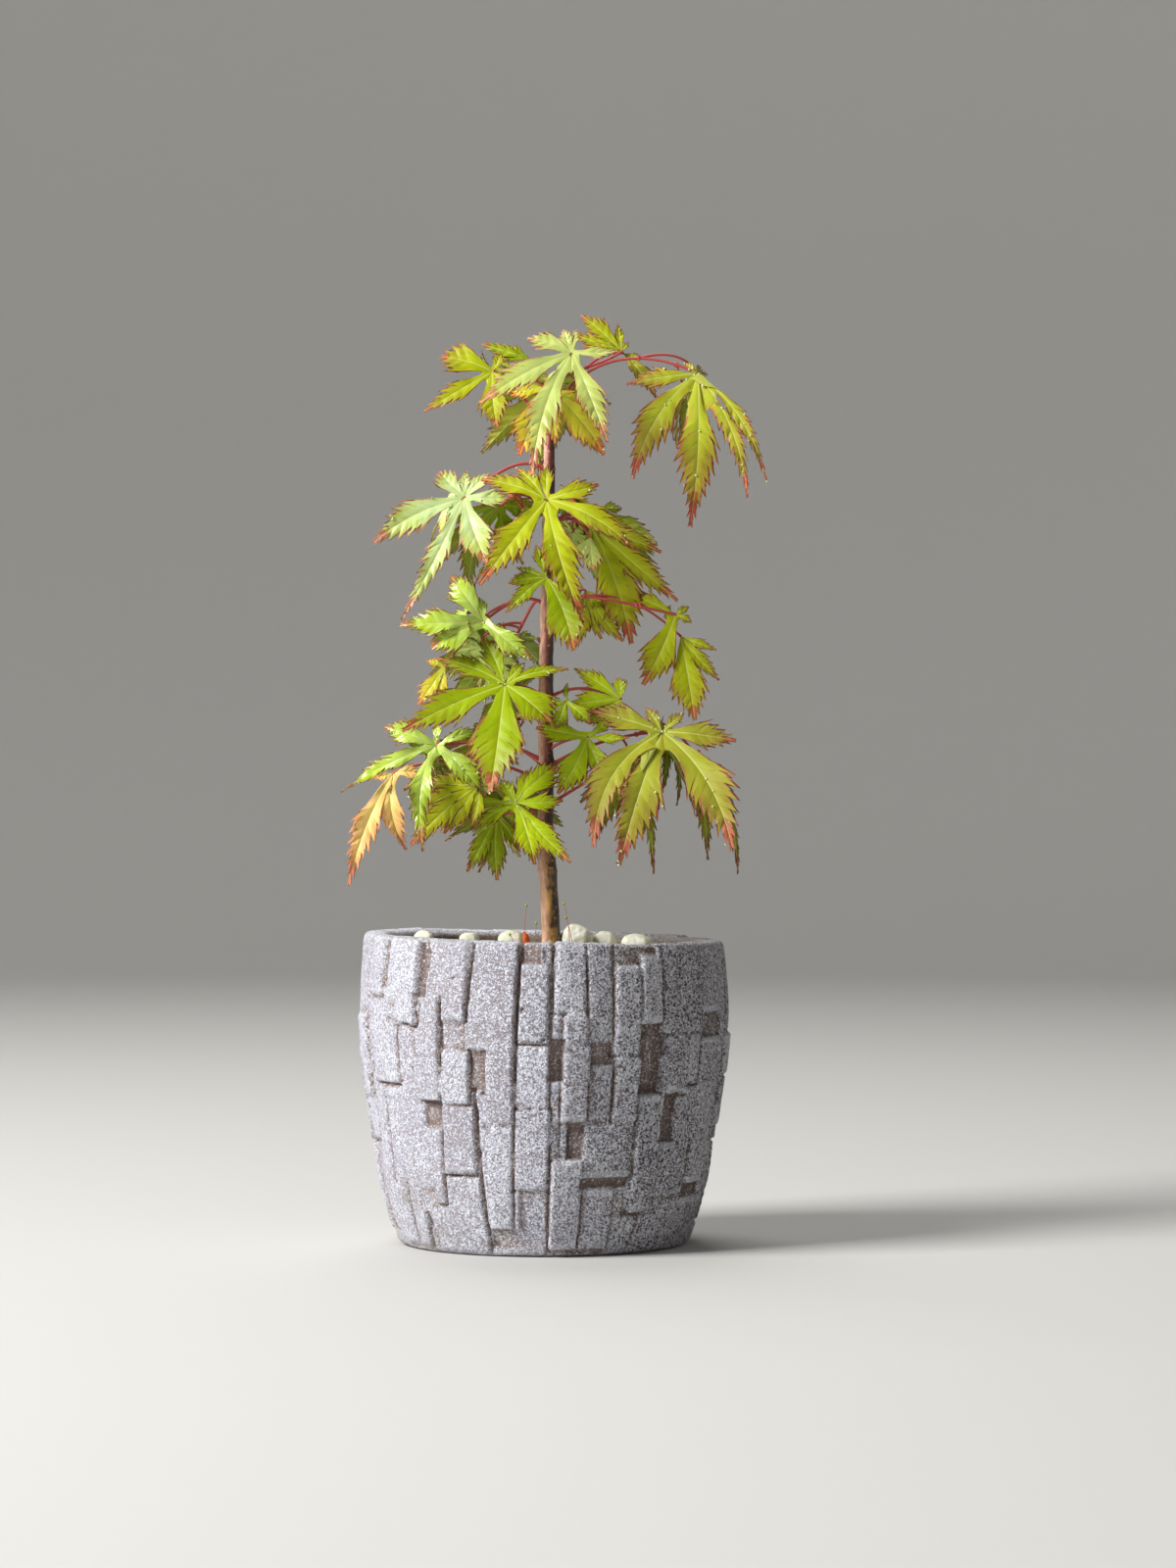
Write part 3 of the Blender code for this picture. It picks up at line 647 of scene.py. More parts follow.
def make_lobe(foot, way, length, across, face, sinuses, room, wide, look, draw):
    """Points, quads and face slots of one lobe. Each side is a grid from the midrib out to the margin."""
    fold, bow, sickle, twist, drop, wave = look
    wide = min(wide * (USUAL_LENGTH / length) ** SHORT_LOBE_GROWTH, WIDEST_LOBE)
    nearest = min(np.linalg.norm(sinus - foot) for sinus in sinuses)
    start = min(0.72 * nearest / length, 0.25)
    rows = {side: tooth_rows(start, length, draw) for side in (-1, 1)}
    inner = [(share * start, 0.0, 0.0, 0.0) for share in INNER_ROWS]
    stations = np.array([row[0] for row in inner + rows[1]])
    phases = np.array([row[3] for row in inner + rows[1]])
    midrib = stations * length
    ripple_from, ripple_turns = draw.uniform(0, 6), draw.uniform(2.0, 3.4)

    def surface(along, out, side, column):
        """Places on the lobe, from lengths along and out from its midrib."""
        share = along / length
        turn = twist * share ** 2
        sideways = np.cos(turn)[:, None] * across + np.sin(turn)[:, None] * face
        upwards = np.cos(turn)[:, None] * face - np.sin(turn)[:, None] * across
        waves = np.sin(ripple_from + side + RIPPLE_TURN * ripple_turns * share)
        ripple = RIPPLE_HEIGHT * wave * length * column ** 2 * waves
        quilt = -QUILT_HEIGHT * np.cos(QUILT_TURN * phases) * 4 * column * (1 - column)
        quilt = quilt * smooth_step(0.1, 0.3, share)
        arch = bow * length * 4 * share * (1 - share) - drop * smooth_step(0.3, 0.6, share)
        lift = fold * out + (ripple + quilt) * (1 - smooth_step(0.85, 1.0, share))
        bend = sickle * length * share * (1 - share)
        return (foot + along[:, None] * way + bend[:, None] * across + arch[:, None] * face
                + side * out[:, None] * sideways + lift[:, None] * upwards)

    sides = {}
    for side, sinus, tangent in zip((-1, 1), sinuses, room):
        own = np.array(inner + rows[side])
        # Neighbouring lobes keep off each other, but none gets very narrow for it.
        full = lobe_half_width(stations) * length * wide
        reachable = 0.97 * tangent * (midrib + VEIN_SLANT * full)
        full = np.minimum(full, np.maximum(0.7 * full, reachable))
        out = np.maximum(full + own[:, 1] * length * math.sqrt(wide), 0.3 * full)
        along = midrib + VEIN_SLANT * out + own[:, 2] * length
        # Up to the sinus, the margin is the straight line that the next lobe shares.
        offset = sinus - foot
        reach = np.clip(stations / start, 0, 1)
        base = stations <= start + 1e-6
        out = np.where(base, abs(offset.dot(across)) * reach, out)
        along = np.where(base, offset.dot(way) * reach, along)
        furthest = length * (0.5 + 0.5 * stations) + length * 0.5 * stations * (1 - stations)
        along = np.minimum(along, furthest)
        edge = surface(along, out, side, np.ones(len(out)))
        aim = edge.copy()
        aim[base] = foot + reach[base][:, None] * offset
        last = int(base.sum()) - 1
        fade = np.clip(1 - (stations - start) / SINUS_FADE, 0, 1) ** 2
        aim[~base] += (aim[last] - edge[last]) * fade[~base][:, None]
        rib = np.clip((RIB_HALF_WIDTH - RIB_TAPER * stations) / np.maximum(out, 0.3), 0.02, 0.3)
        sides[side] = []
        for share in COLUMNS:
            column = rib + (1 - rib) * share
            place = surface(midrib + (along - midrib) * column, out * column, side, column)
            sides[side].append(place + (aim - edge) * (column ** 2)[:, None])
    middle = surface(midrib, np.zeros(len(stations)), 1, np.zeros(len(stations)))
    grid = np.array([*reversed(sides[-1]), middle - face * RIB_DEPTH, *sides[1]])
    return grid.reshape(-1, 3), *lobe_faces(stations, draw)


def lobe_faces(stations, draw):
    """Quads over a lobe's whole grid, from margin to margin, and the finish of each."""
    widths = [*reversed(COLUMNS), 0.0, *COLUMNS]
    middle = len(COLUMNS)
    count = len(stations)
    quads = []
    slots = []
    for column in range(len(widths) - 1):
        outer = max(widths[column], widths[column + 1])
        for row in range(count - 1):
            first = column * count + row
            quads.append((first, first + 1, first + count + 1, first + count))
            share = (stations[row] + stations[row + 1]) / 2
            shade = 0.4 * outer ** 2 + 1.2 * max(share - 0.3, 0) + draw.uniform(-0.12, 0.12)
            if column in (middle - 1, middle):
                slots.append(RIB_SLOT)
            elif share > TIP_FROM:
                slots.append(TIP_SLOT)
            elif (outer > MARGIN_FROM and share > 0.24) or share > 0.8 + draw.uniform(-0.04, 0.04):
                slots.append(MARGIN_SLOT)
            else:
                slots.append(FIRST_BLADE_SLOT + min(max(int(shade * BLADE_SHADES), 0), BLADE_SHADES - 1))
    return quads, slots


def leaf_sinuses(foot, ways, lengths, normal, rise):
    """The place where each two neighbouring lobes part, and the tangent of half the angle between them."""
    sinuses = []
    tangents = []
    for (way, length), (next_way, next_length) in itertools.pairwise(zip(ways, lengths)):
        half = 0.5 * math.acos(min(max(way.dot(next_way), -1), 1))
        tangent = math.tan(min(half, 1.2))
        share = min(max(SINUS_WIDTH / max(tangent, 0.05), 0.13), 0.36)
        reach = min(share * (length + next_length) / 2, 0.5 * min(length, next_length))
        sinuses.append(foot + unit(way + next_way) * reach + normal * reach * rise)
        tangents.append(tangent)
    return sinuses, tangents


def make_leaf(foot, tips, shapes, facing, draw, curl=1.0):
    """Points, faces, face slots and upward direction of a palmate leaf, from its lobes' tips and shapes."""
    normal = sum(np.cross(one - foot, two - foot) for one, two in zip(tips, tips[1:]))
    if normal.dot(facing) < 0:
        tips = tips[::-1]
        shapes = shapes[::-1]
        normal = -normal
    normal = unit(normal)
    lengths = np.linalg.norm(tips - foot, axis=1)
    ways = (tips - foot) / lengths[:, None]
    fold = draw.uniform(0.02, 0.17) * curl
    bow = min(draw.uniform(0.045, 0.09) * curl, 0.14)
    sinuses, tangents = leaf_sinuses(foot, ways, lengths, normal, bow * 2.2 + fold * 0.3)
    rooms = (OPEN_ROOM, *tangents, OPEN_ROOM)
    lobes = []
    slots = []
    for index, (way, length, (wide, sideways)) in enumerate(zip(ways, lengths, shapes)):
        face = unit(normal - way * normal.dot(way))
        across = np.cross(face, way)
        base = 0.15 * length
        width = LOBE_BASE_WIDTH * length * wide
        before, after = (foot + way * base + side * across * width for side in (-1, 1))
        if index > 0:
            before = sinuses[index - 1]
        if index < len(sinuses):
            after = sinuses[index]
        sickle = sideways + draw.uniform(-0.2, 0.2)
        twist = draw.uniform(-0.5, 0.5) * curl
        look = (fold, bow, sickle, twist, 0.5 * (index % 2), curl)
        points, quads, lobe_slots = make_lobe(foot, way, length, across, face, (before, after),
                                              rooms[index:index + 2], wide, look, draw)
        lobes.append((points, quads))
        slots += lobe_slots
    return *join_parts(lobes), slots, normal


@functools.cache
def leaf_materials(tint):
    """The finishes of a leaf's upper side in this tint, then those of its underside."""
    inner, outer, margin, tip = TINTS[tint]
    upper = [("rib", mixed(RIB_TINT, inner, 0.35))]
    for step in range(BLADE_SHADES):
        upper.append(("blade_" + str(step + 1), mixed(inner, outer, step / (BLADE_SHADES - 1))))
    upper += [("margin", mixed(outer, margin, 0.75)), ("tip", mixed(outer, tip, 0.8))]
    level = SHEEN_LEVEL.get(tint, LEAF_SHEEN_LEVEL)
    made = []
    for side, share, gloss in (("upper", 0.0, GLOSS.get(tint, USUAL_GLOSS)),
                               ("under", UNDERSIDE_SHARE, UNDERSIDE_GLOSS)):
        for part, colour in upper:
            name = "_".join(("leaf", tint, part, side))
            made.append(make_material(name, mixed(colour, UNDERSIDE_TINT, share), gloss, *LEAF_GRAIN, level))
    return made


# Sprays

def trunk_place(height):
    """The middle of the trunk at this height, and its radius there."""
    x, y, radius = between(TRUNK, height)
    return np.array((x, y, height)), radius


def stalk_line(name, height, foot, face):
    """The curve of a leaf stalk: out from the trunk, up and over, and into the back of its leaf."""
    axis, radius = trunk_place(height)
    if height >= TRUNK[-1][0]:
        start = axis - np.array((0, 0, 1.0))
        leaving = np.array((0.0, 0.0, 1.0))
    else:
        outward = unit(np.array((foot[0] - axis[0], foot[1] - axis[1], 0.0)))
        leaving = unit(outward + np.array((0, 0, 0.6)))
        start = axis + outward * (radius - 0.6)
    end = foot - face * STALK_GAP
    if name in STALK_HANDLES:
        first, second = (np.array(handle, float) for handle in STALK_HANDLES[name])
        return curve_points(start, first, second, end, STALK_POINTS)
    pull = 0.4 * np.linalg.norm(end - start)
    entering = unit(unit(end - start) + face + np.array((0, 0, -0.7)))
    return curve_points(start, start + leaving * pull, end - entering * pull, end, STALK_POINTS)


def stalk_radii(count, foot_radius=0.62, tip_radius=0.48):
    """Swollen where the stalk leaves its limb, slender along it, and a little thicker at the leaf."""
    share = np.linspace(0, 1, count)
    swelling = 0.55 * np.exp(-share / 0.03) + 0.16 * np.exp(-(1 - share) / 0.03)
    return foot_radius + (tip_radius - foot_radius) * share + swelling


def turned(vector, axis, angle):
    """The vector turned round the axis by this angle in degrees."""
    return np.array(Matrix.Rotation(math.radians(angle), 3, Vector(axis)) @ Vector(vector))


def shown(places):
    """Where places show from the front, in millimetres on the upright plane through the trunk."""
    share = -EYE[1] / (places[:, 1] - EYE[1])
    return EYE[[0, 2]] + (places[:, [0, 2]] - EYE[[0, 2]]) * share[:, None]


def hidden_share(foot, tips):
    """How much of a leaf the front leaves' lobes hide from the front, from 0 to 1."""
    spots = shown(np.concatenate([foot + (tips - foot) * share for share in (0.35, 0.6, 0.85, 1.0)]))
    starts, ends, wides = FRONT_LOBES
    runs = ends - starts
    lengths = np.linalg.norm(runs, axis=1)
    offsets = spots[:, None, :] - starts[None, :, :]
    along = np.clip((offsets * runs).sum(axis=2) / lengths ** 2, 0, 1)
    away = np.linalg.norm(offsets - along[:, :, None] * runs, axis=2)
    covered = away < (lobe_half_width(along) * wides + HIDING_MARGIN) * lengths
    return covered.any(axis=1).mean()


def grown_leaf(line, foot, tips, face, rear, draw):
    """One more leaf of the spray, by the branching rule: smaller, swung round towards a side, and of some
    tries the one that lies the most behind the first leaf and is hidden the most from the front."""
    best = None
    for _ in range(GROWN_TRIES):
        bud = line[int(len(line) * draw.uniform(0.62, 0.95))]
        scale = draw.uniform(*GROWN_SCALES[rear])
        hand = draw.choice((-1, 1))
        swing = hand * draw.uniform(*GROWN_SWINGS[rear])
        spin = draw.uniform(-GROWN_SPIN, GROWN_SPIN)
        if rear:
            sideways = unit(np.cross(face, (0, 0, 1.0))) * hand * draw.uniform(8, 18)
            place = foot * 0.7 + bud * 0.3 + sideways + np.array((0, 0, draw.uniform(-9, 11)))
        else:
            place = foot * 0.7 + bud * 0.3
            place = place + (draw.uniform(-8, 8), draw.uniform(0, 18), draw.uniform(-6, 4))
        moved = [place + scale * turned(turned(tip - foot, face, spin), (0, 0, 1), swing) for tip in tips]
        moved = np.array(moved)
        score = hidden_share(place, moved)
        if not rear:
            score += (((moved - foot).dot(face) < -1.0).mean() + ((place - foot).dot(face) < -2.0)) / 2
        if best is None or score > best[0]:
            best = (score, bud, place, moved, turned(face, (0, 0, 1), swing))
    return best[1:]


def settled_rear_leaf(foot, tips, face, draw):
    """The leaf of a far-side spray, turned a little so that the front leaves hide it best."""
    best = None
    for _ in range(GROWN_TRIES):
        spin = draw.uniform(-REAR_SPIN, REAR_SPIN)
        moved = np.array([foot + turned(tip - foot, face, spin) for tip in tips])
        score = hidden_share(foot, moved)
        if best is None or score > best[0]:
            best = (score, moved)
    return best[1]


def make_spray(name, height, leaves, facing, grown):
    """A spray's leaves as one piece, and their stalks as another. Returns where beads of water lie."""
    draw = random.Random(name + str(SEED))
    tints = list(dict.fromkeys(leaf[0] for leaf in leaves))
    blades = []
    slots = []
    stalks = []

    def add_leaf(tint, points, faces, leaf_slots):
        blades.append((points, faces))
        slots.extend(tints.index(tint) * 2 * LEAF_SLOTS + slot for slot in leaf_slots)

    for tint, foot, tips, shapes in leaves:
        *made, face = make_leaf(foot, tips, shapes, facing, draw, CURL.get(tint, 1.0))
        if blades:
            bud = line[int(len(line) * draw.uniform(0.3, 0.6))]
            stalks.append(side_stalk(bud, foot, face))
        else:
            line = stalk_line(name, height, foot, face)
            stalks.append(tube(line, stalk_radii(len(line)), STALK_AROUND))
            first_face = face
        add_leaf(tint, *made)
    tint, foot, tips, shapes = leaves[0]
    for _ in range(grown):
        bud, place, moved, turned_face = grown_leaf(line, foot, tips, first_face, "rear" in name, draw)
        *made, face = make_leaf(place, moved, shapes, turned_face, draw)
        stalks.append(side_stalk(bud, place, face))
        add_leaf(tint, *made)
    materials = [material for tint in tints for material in leaf_materials(tint)]
    piece = make_object("leaves_" + name, *join_parts(blades), materials, slots)
    thicken(piece)
    finish = "tinted_leaf" if name == "far_left" else "leaf"
    finish_piece(piece, finish, "foliage_" + name)
    piece = make_object("stalk_" + name, *join_parts(stalks), [stalk_material()])
    finish_piece(piece, "petiole", "bough_" + name)
    return drop_places(name, blades[0][0], first_face)


@functools.cache
def stalk_material():
    return make_material("leaf_stalk", (190, 80, 76), 0.4, 1.2, 0.08)


def side_stalk(bud, foot, face):
    """A short stalk from a bud on the spray's limb to the foot of another leaf."""
    end = foot - face * STALK_GAP
    pull = 0.4 * np.linalg.norm(end - bud)
    entering = unit(unit(end - bud) + 0.6 * face + np.array((0, 0, -0.6)))
    leaving = unit(unit(end - bud) + np.array((0, 0, 0.5)))
    line = curve_points(bud, bud + leaving * pull, end - entering * pull, end, SIDE_STALK_POINTS)
    return tube(line, stalk_radii(len(line), 0.5, 0.42), SIDE_STALK_AROUND)


def thicken(piece):
    """Welds the lobes and gives the blade its thickness, with the underside's own finishes."""
    only_select(piece)
    bpy.ops.object.mode_set(mode="EDIT")
    bpy.ops.mesh.select_all(action="SELECT")
    bpy.ops.mesh.remove_doubles(threshold=WELD_DISTANCE * MM)
    bpy.ops.object.mode_set(mode="OBJECT")
    modifier = piece.modifiers.new("thickness", "SOLIDIFY")
    modifier.thickness = LEAF_THICKNESS * MM
    modifier.offset = -1.0
    modifier.material_offset = LEAF_SLOTS
    bpy.ops.object.modifier_apply(modifier=modifier.name)


def make_water_beads(spots):
    """Beads of water lying on the leaves, at places with their upward directions."""
    draw = random.Random(SEED + 3)
    beads = []
    for place, face in spots:
        size = draw.uniform(0.55, 1.05)
        shares = (0.02, 0.1, 0.3, 0.6, 0.85, 1.0)
        points = [place + face * size * (0.62 * share - 0.08) for share in shares]
        radii = [size * 0.5 * math.sqrt(max(1 - share ** 2.2, 0.02)) for share in shares]
        beads.append(tube(points, radii, 10))
    # The beads are opaque, and their pale colour is a painted glint in place of clear water.
    water = make_material("water_bead", (206, 214, 150), 0.06, sheen_level=0.9)
    piece = make_object("water_beads", *join_parts(beads), [water])
    finish_piece(piece, "leaf")


def drop_places(name, points, face):
    """Places on a leaf's upper side where beads of water lie, with the leaf's upward direction."""
    draw = random.Random(name)
    return [(points[draw.randrange(len(points))] + face * 0.05, face) for _ in range(DROPS.get(name, 0))]


def placed_leaves(leaves):
    """The leaves of a front spray in space: tint, foot, tips, and each lobe's width and bow."""
    placed = []
    for tint, lean, foot, tips in leaves:
        whole = [(tip[0], foot[1] - lean * (foot[2] - tip[1]), tip[1]) for tip in tips]
        shapes = [(*tip[2:], *USUAL_SHAPE[len(tip) - 2:]) for tip in tips]
        placed.append((tint, np.array(foot, float), np.array(whole, float), shapes))
    return placed


FRONT_SPRAYS = {name: (height, placed_leaves(leaves)) for name, (height, leaves) in SPRAYS.items()}


def front_lobes():
    """The start, end and width of every lobe of the front leaves, as they show from the front."""
    starts = []
    ends = []
    wides = []
    for _, leaves in FRONT_SPRAYS.values():
        for _, foot, tips, shapes in leaves:
            starts += [shown(foot[None, :])[0]] * len(tips)
            ends += list(shown(tips))
            wides += [wide for wide, _ in shapes]
    return np.array(starts), np.array(ends), np.array(wides)


FRONT_LOBES = front_lobes()


def make_front_sprays():
    """All sprays of the front. Returns where beads of water lie on them."""
    front = np.array((0.0, -1.0, 0.0))
    spots = []
    for name, (height, leaves) in FRONT_SPRAYS.items():
        spots += make_spray(name, height, leaves, front, GROWN_LEAVES.get(name, 0))
    return spots


def make_rear_sprays():
    """The sprays of the far side: each has one regular leaf, and the leaves that grow beside it."""
    for name, (height, turn, distance, foot_height, length, tint) in REAR_SPRAYS.items():
        draw = random.Random("place " + name)
        angle = math.radians(turn)
        outward = np.array((math.cos(angle), math.sin(angle), 0.0))
        left_hand = np.array((math.sin(angle), -math.cos(angle), 0.0))
        x, y = between(TRUNK, height)[:2]
        foot = np.array((x, y, foot_height)) + outward * distance
        ahead = outward * length * math.sqrt(1 - REAR_DROP ** 2) - np.array((0, 0, REAR_DROP * length))
        tips = []
        for side_turn, reach in zip(map(math.radians, REAR_ANGLES), REAR_REACHES):
            way = ahead * math.cos(side_turn) + left_hand * length * math.sin(side_turn)
            tips.append(foot + reach * way)
        face = unit(np.cross(tips[2] - foot, tips[4] - foot))
        tips = settled_rear_leaf(foot, np.array(tips), face, draw)
        make_spray(name, height, [(tint, foot, tips, [USUAL_SHAPE] * len(tips))], outward, REAR_GROWN)


# Trunk

def node_relief(height):
    """How far the bark stands out round its nodes: a swelling, with a groove over it and one under it."""
    relief = np.zeros_like(height)
    for node in TRUNK_NODES:
        for size, above, width in NODE_RINGS:
            relief += size * np.exp(-((height - node - above) / width) ** 2)
    return relief


def make_trunk():
    """The trunk's bark, with its node rings, fine ridges and buds."""
    heights = np.arange(TRUNK[0][0], TRUNK[-1][0] + 0.01, TRUNK_STEP)
    stations = np.array(TRUNK)
    x, y, radii = (np.interp(heights, stations[:, 0], stations[:, column]) for column in (1, 2, 3))
    for values in (x, radii):
        values[8:-8] = np.convolve(values, np.ones(13) / 13, "same")[8:-8]
    turns = np.linspace(0, math.tau, TRUNK_AROUND, endpoint=False)
    height, turn = np.meshgrid(heights, turns, indexing="ij")
    round_x = x[:, None] + radii[:, None] * np.cos(turn)
    round_y = y[:, None] + radii[:, None] * np.sin(turn)
    places = np.stack([round_x, round_y, height], axis=-1).reshape(-1, 3)
    outward = np.stack([np.cos(turn), np.sin(turn), np.zeros_like(turn)], axis=-1).reshape(-1, 3)
    flare = np.clip((FLARE_TOP - height) / FLARE_HEIGHT, 0, 1)
    relief = (node_relief(height) + 0.5 * flare ** 1.5 * np.cos(turn * 5 + 0.7)).reshape(-1)
    relief += 0.16 * noise_at(places * (1.0, 1.0, 0.22), 1.3, 1)
    relief += 0.2 * noise_at(places, 6.0, 2) + 0.06 * noise_at(places, 0.8, 3)
    relief[:TRUNK_AROUND] = np.minimum(relief[:TRUNK_AROUND], 0.2)
    tip = (x[-1], y[-1], heights[-1] + 1.0)
    points = np.concatenate([places + outward * relief[:, None], [tip]])
    faces = ring_faces(len(heights), TRUNK_AROUND)
    faces.append(tuple(reversed(range(TRUNK_AROUND))))
    top = (len(heights) - 1) * TRUNK_AROUND
    for step in range(TRUNK_AROUND):
        faces.append((top + step, top + (step + 1) % TRUNK_AROUND, len(points) - 1))
    points, faces = join_parts([(points, faces), *(trunk_bud(*bud) for bud in TRUNK_BUDS)])
    piece = make_object("trunk_bark", points, faces, [bark_material()], smooth_angle=70)
    # How far the bark faces right, which its material turns into painted shade on the right and a painted
    # highlight on the left.
    to_the_right = np.zeros(len(points))
    to_the_right[:len(outward)] = outward[:, 0]
    point_values(piece, "painted_light_side", to_the_right)
    finish_piece(piece, "bark", "trunk")


def trunk_bud(height, turn, length):
    """A pointed bud that leans out from the bark."""
    axis, radius = trunk_place(height)
    outward = turned((1.0, 0.0, 0.0), (0, 0, 1), turn)
    shares = np.linspace(0, 1, 7)
    places = [axis + outward * (radius - 0.5 + 0.75 * length * share) + (0, 0, length * share ** 0.8)
              for share in shares]
    radii = 0.8 * np.sin(math.pi * (0.25 + 0.72 * shares))
    return tube(places, radii, 10)


def bark_material():
    """Red-brown bark, amber at its foot, dark with painted shade at the right, and pale with a painted
    highlight at the lit left.
    """
    material, tree, shader = new_material("maple_bark", 0.34, 0.65)
    place = own_place(tree)
    height = add_node(tree, "ShaderNodeSeparateXYZ", ((0, place),)).outputs[2]
    wander = math_node(tree, "SUBTRACT", noise_node(tree, place, 9.0), 0.5)
    level = math_node(tree, "ADD", height, math_node(tree, "MULTIPLY", wander, 0.03))
    share = spread(tree, level, 0.106, 0.312)
    colour = colour_ramp(tree, share, ((0.0, (176, 130, 52)), (0.1, (214, 164, 74)), (0.18, (198, 140, 82)),
                                       (0.22, (156, 92, 74)), (0.7, (148, 70, 66)), (1.0, (166, 78, 74))))
    streaks = noise_node(tree, place, 1.3, 4.0, 0.65, 0.0, (1, 1, 0.2))
    blotches = noise_node(tree, place, 2.6, 3.0, 0.6, 0.4, (1, 1, 0.6))
    # How far the bark faces right: painted shade grows to the right, and a painted highlight to the left.
    painted_light_side = own_value(tree, "painted_light_side")
    # Painted shade, with the blotches: the bark darkens towards its right side.
    painted_shade_and_blotches = math_node(tree, "ADD", spread(tree, painted_light_side, -0.25, 0.75, 0.0, 0.42), blotches)
    colour = mix_colours(tree, spread(tree, blotches, 0.52, 0.62, 0.0, 0.6), colour, (112, 56, 44))
    colour = mix_colours(tree, spread(tree, streaks, 0.42, 0.62, 0.0, 0.6), colour, (84, 46, 38))
    colour = mix_colours(tree, spread(tree, painted_shade_and_blotches, 0.55, 0.85, 0.0, 0.9), colour, (46, 27, 21))
    # Painted highlight: the bark pales to pink towards its lit left, along the streaks.
    fresh = math_node(tree, "MULTIPLY", spread(tree, streaks, 0.4, 0.62, 0.95, 0.45),
                      spread(tree, painted_light_side, -0.75, 0.0, 1.0, 0.0))
    colour = mix_colours(tree, fresh, colour, (246, 196, 170))
    spots = add_node(tree, "ShaderNodeTexVoronoi", (("Vector", place), ("Scale", 480.0))).outputs[0]
    dots = spread(tree, spots, 0.14, 0.24, 1.0, 0.0)
    colour = mix_colours(tree, math_node(tree, "MULTIPLY", dots, 0.7), colour, (208, 160, 132))
    tree.links.new(colour, shader.inputs["Base Color"])
    rough = math_node(tree, "ADD", streaks, math_node(tree, "MULTIPLY", dots, 0.3))
    add_bump(tree, shader, rough, 0.3)
    return material


# Pot

def rear_blocks():
    """Blocks and grooves for the pot's far side, in the style of its front."""
    draw = random.Random(SEED)
    blocks = []
    grooves = []
    angle = REAR_BLOCKS_FROM
    while angle < REAR_BLOCKS_TO:
        width = draw.uniform(8.5, 14.0)
        bottom = 2.0 + draw.uniform(0, 6)
        while bottom < 109:
            top = min(bottom + draw.uniform(14, 36), 112.0)
            depth = draw.choice((-1.5, -0.9, -0.3, 0.0, 0.1, 0.2, 0.3, 0.5))
            left = angle + draw.uniform(-1, 1)
            right = angle + width + draw.uniform(-1, 1)
            blocks.append((left, right, bottom, top, depth))
            if draw.random() < 0.5:
                grooves.append((angle, bottom, angle + width, bottom + draw.uniform(-1, 1), 0.8, 0.9))
            bottom = top + draw.choice((0.0, 0.0, 2.5))
        if draw.random() < 0.75:
            low = draw.uniform(2, 70)
            start = angle + draw.uniform(0, 2)
            high = min(low + draw.uniform(25, 60), 111)
            grooves.append((start, high, angle - 1.0, low, draw.uniform(1.0, 2.0), draw.uniform(0.9, 1.6)))
        angle += width
    return blocks, grooves


def pot_relief(angle, height, radius, ragged):
    """How far each place on the pot's side stands out from its plain turned shape, and how white it is."""
    more_blocks, more_grooves = rear_blocks()
    relief = np.zeros_like(height)
    wash = np.zeros_like(height)
    arc = np.radians(1.0) * radius
    wrapped = (angle + 180) % 360 - 180
    around = angle % 360
    for left, right, bottom, top, depth in (*POT_BLOCKS, *more_blocks):
        place = around if left > LAST_FRONT_ANGLE else wrapped
        middle = (left + right) / 2
        half_width = (right - left) / 2 * arc
        above = height - (bottom + top) / 2
        across = (place - middle) * arc - BLOCK_LEAN * above
        out = np.maximum(np.abs(across) - half_width, np.abs(above) - (top - bottom) / 2) + ragged
        share = 1 - smooth_step(-0.3, 0.3, out)
        bevel = 1 - smooth_step(-1.2, -0.2, out)
        tilt = 0.4 * math.sin(53.0 * left + top) * np.clip((place - middle) / (right - left) * 2, -1, 1)
        stand = (2.3 * depth if depth > 0 else 1.1 * depth) + 0.15 * math.sin(37.0 * left + bottom) + tilt
        right_or_below = (across > half_width - 0.4) | (height < bottom + 0.4)
        joint = (1 - smooth_step(0.2, 1.3, out)) * right_or_below * (depth > -0.6)
        relief = relief - JOINT_DEPTH * joint * (1 - share)
        relief = relief * (1 - share) + stand * share - BEVEL_DEPTH * (share - bevel) * (depth >= 0)
        wash = wash * (1 - share) + (0.3 * depth + 0.3 * math.sin(29.0 * right + top)) * share
    for first_angle, first_height, last_angle, last_height, depth, width in (*POT_GROOVES, *more_grooves):
        place = around if first_angle > LAST_FRONT_ANGLE else wrapped
        run_x = (last_angle - first_angle) * GROOVE_ARC
        run_z = last_height - first_height
        here_x = (place - first_angle) * arc
        here_z = height - first_height
        share = np.clip((here_x * run_x + here_z * run_z) / (run_x ** 2 + run_z ** 2), 0, 1)
        away = np.hypot(here_x - share * run_x, here_z - share * run_z) + ragged * 0.8
        relief -= depth * (1 - smooth_step(width * 0.25, width * 0.8, away))
    for hole_angle, hole_height, size in POT_HOLES:
        away = np.hypot((wrapped - hole_angle) * arc, height - hole_height)
        relief -= HOLE_DEPTH * (1 - smooth_step(size * 0.4, size * 1.2, away))
    return relief, wash


def rim_fall(x, height):
    """How far the pot's top, and the soil in it, lies lower here than the plain turned shape."""
    return RIM_FALL * x * np.clip((height - RIM_FALL_FROM) / (RIM_TOP - RIM_FALL_FROM), 0, None)


def pot_profile():
    """The pot's outline, up its side, over the rim and down inside, and the row where the wall ends."""
    heights = np.arange(POT_WALL[0][1], POT_WALL[-1][1], POT_WALL_STEP)
    stations = np.array(POT_WALL)
    radii = np.interp(heights, stations[:, 1], stations[:, 0])
    radii = np.convolve(np.pad(radii, 7, mode="reflect", reflect_type="odd"), np.ones(15) / 15, "valid")
    profile = [*POT_FOOT, *zip(radii, heights), POT_WALL[-1], *POT_RIM, *POT_INSIDE]
    return np.array(profile, float), len(POT_FOOT) + len(heights)


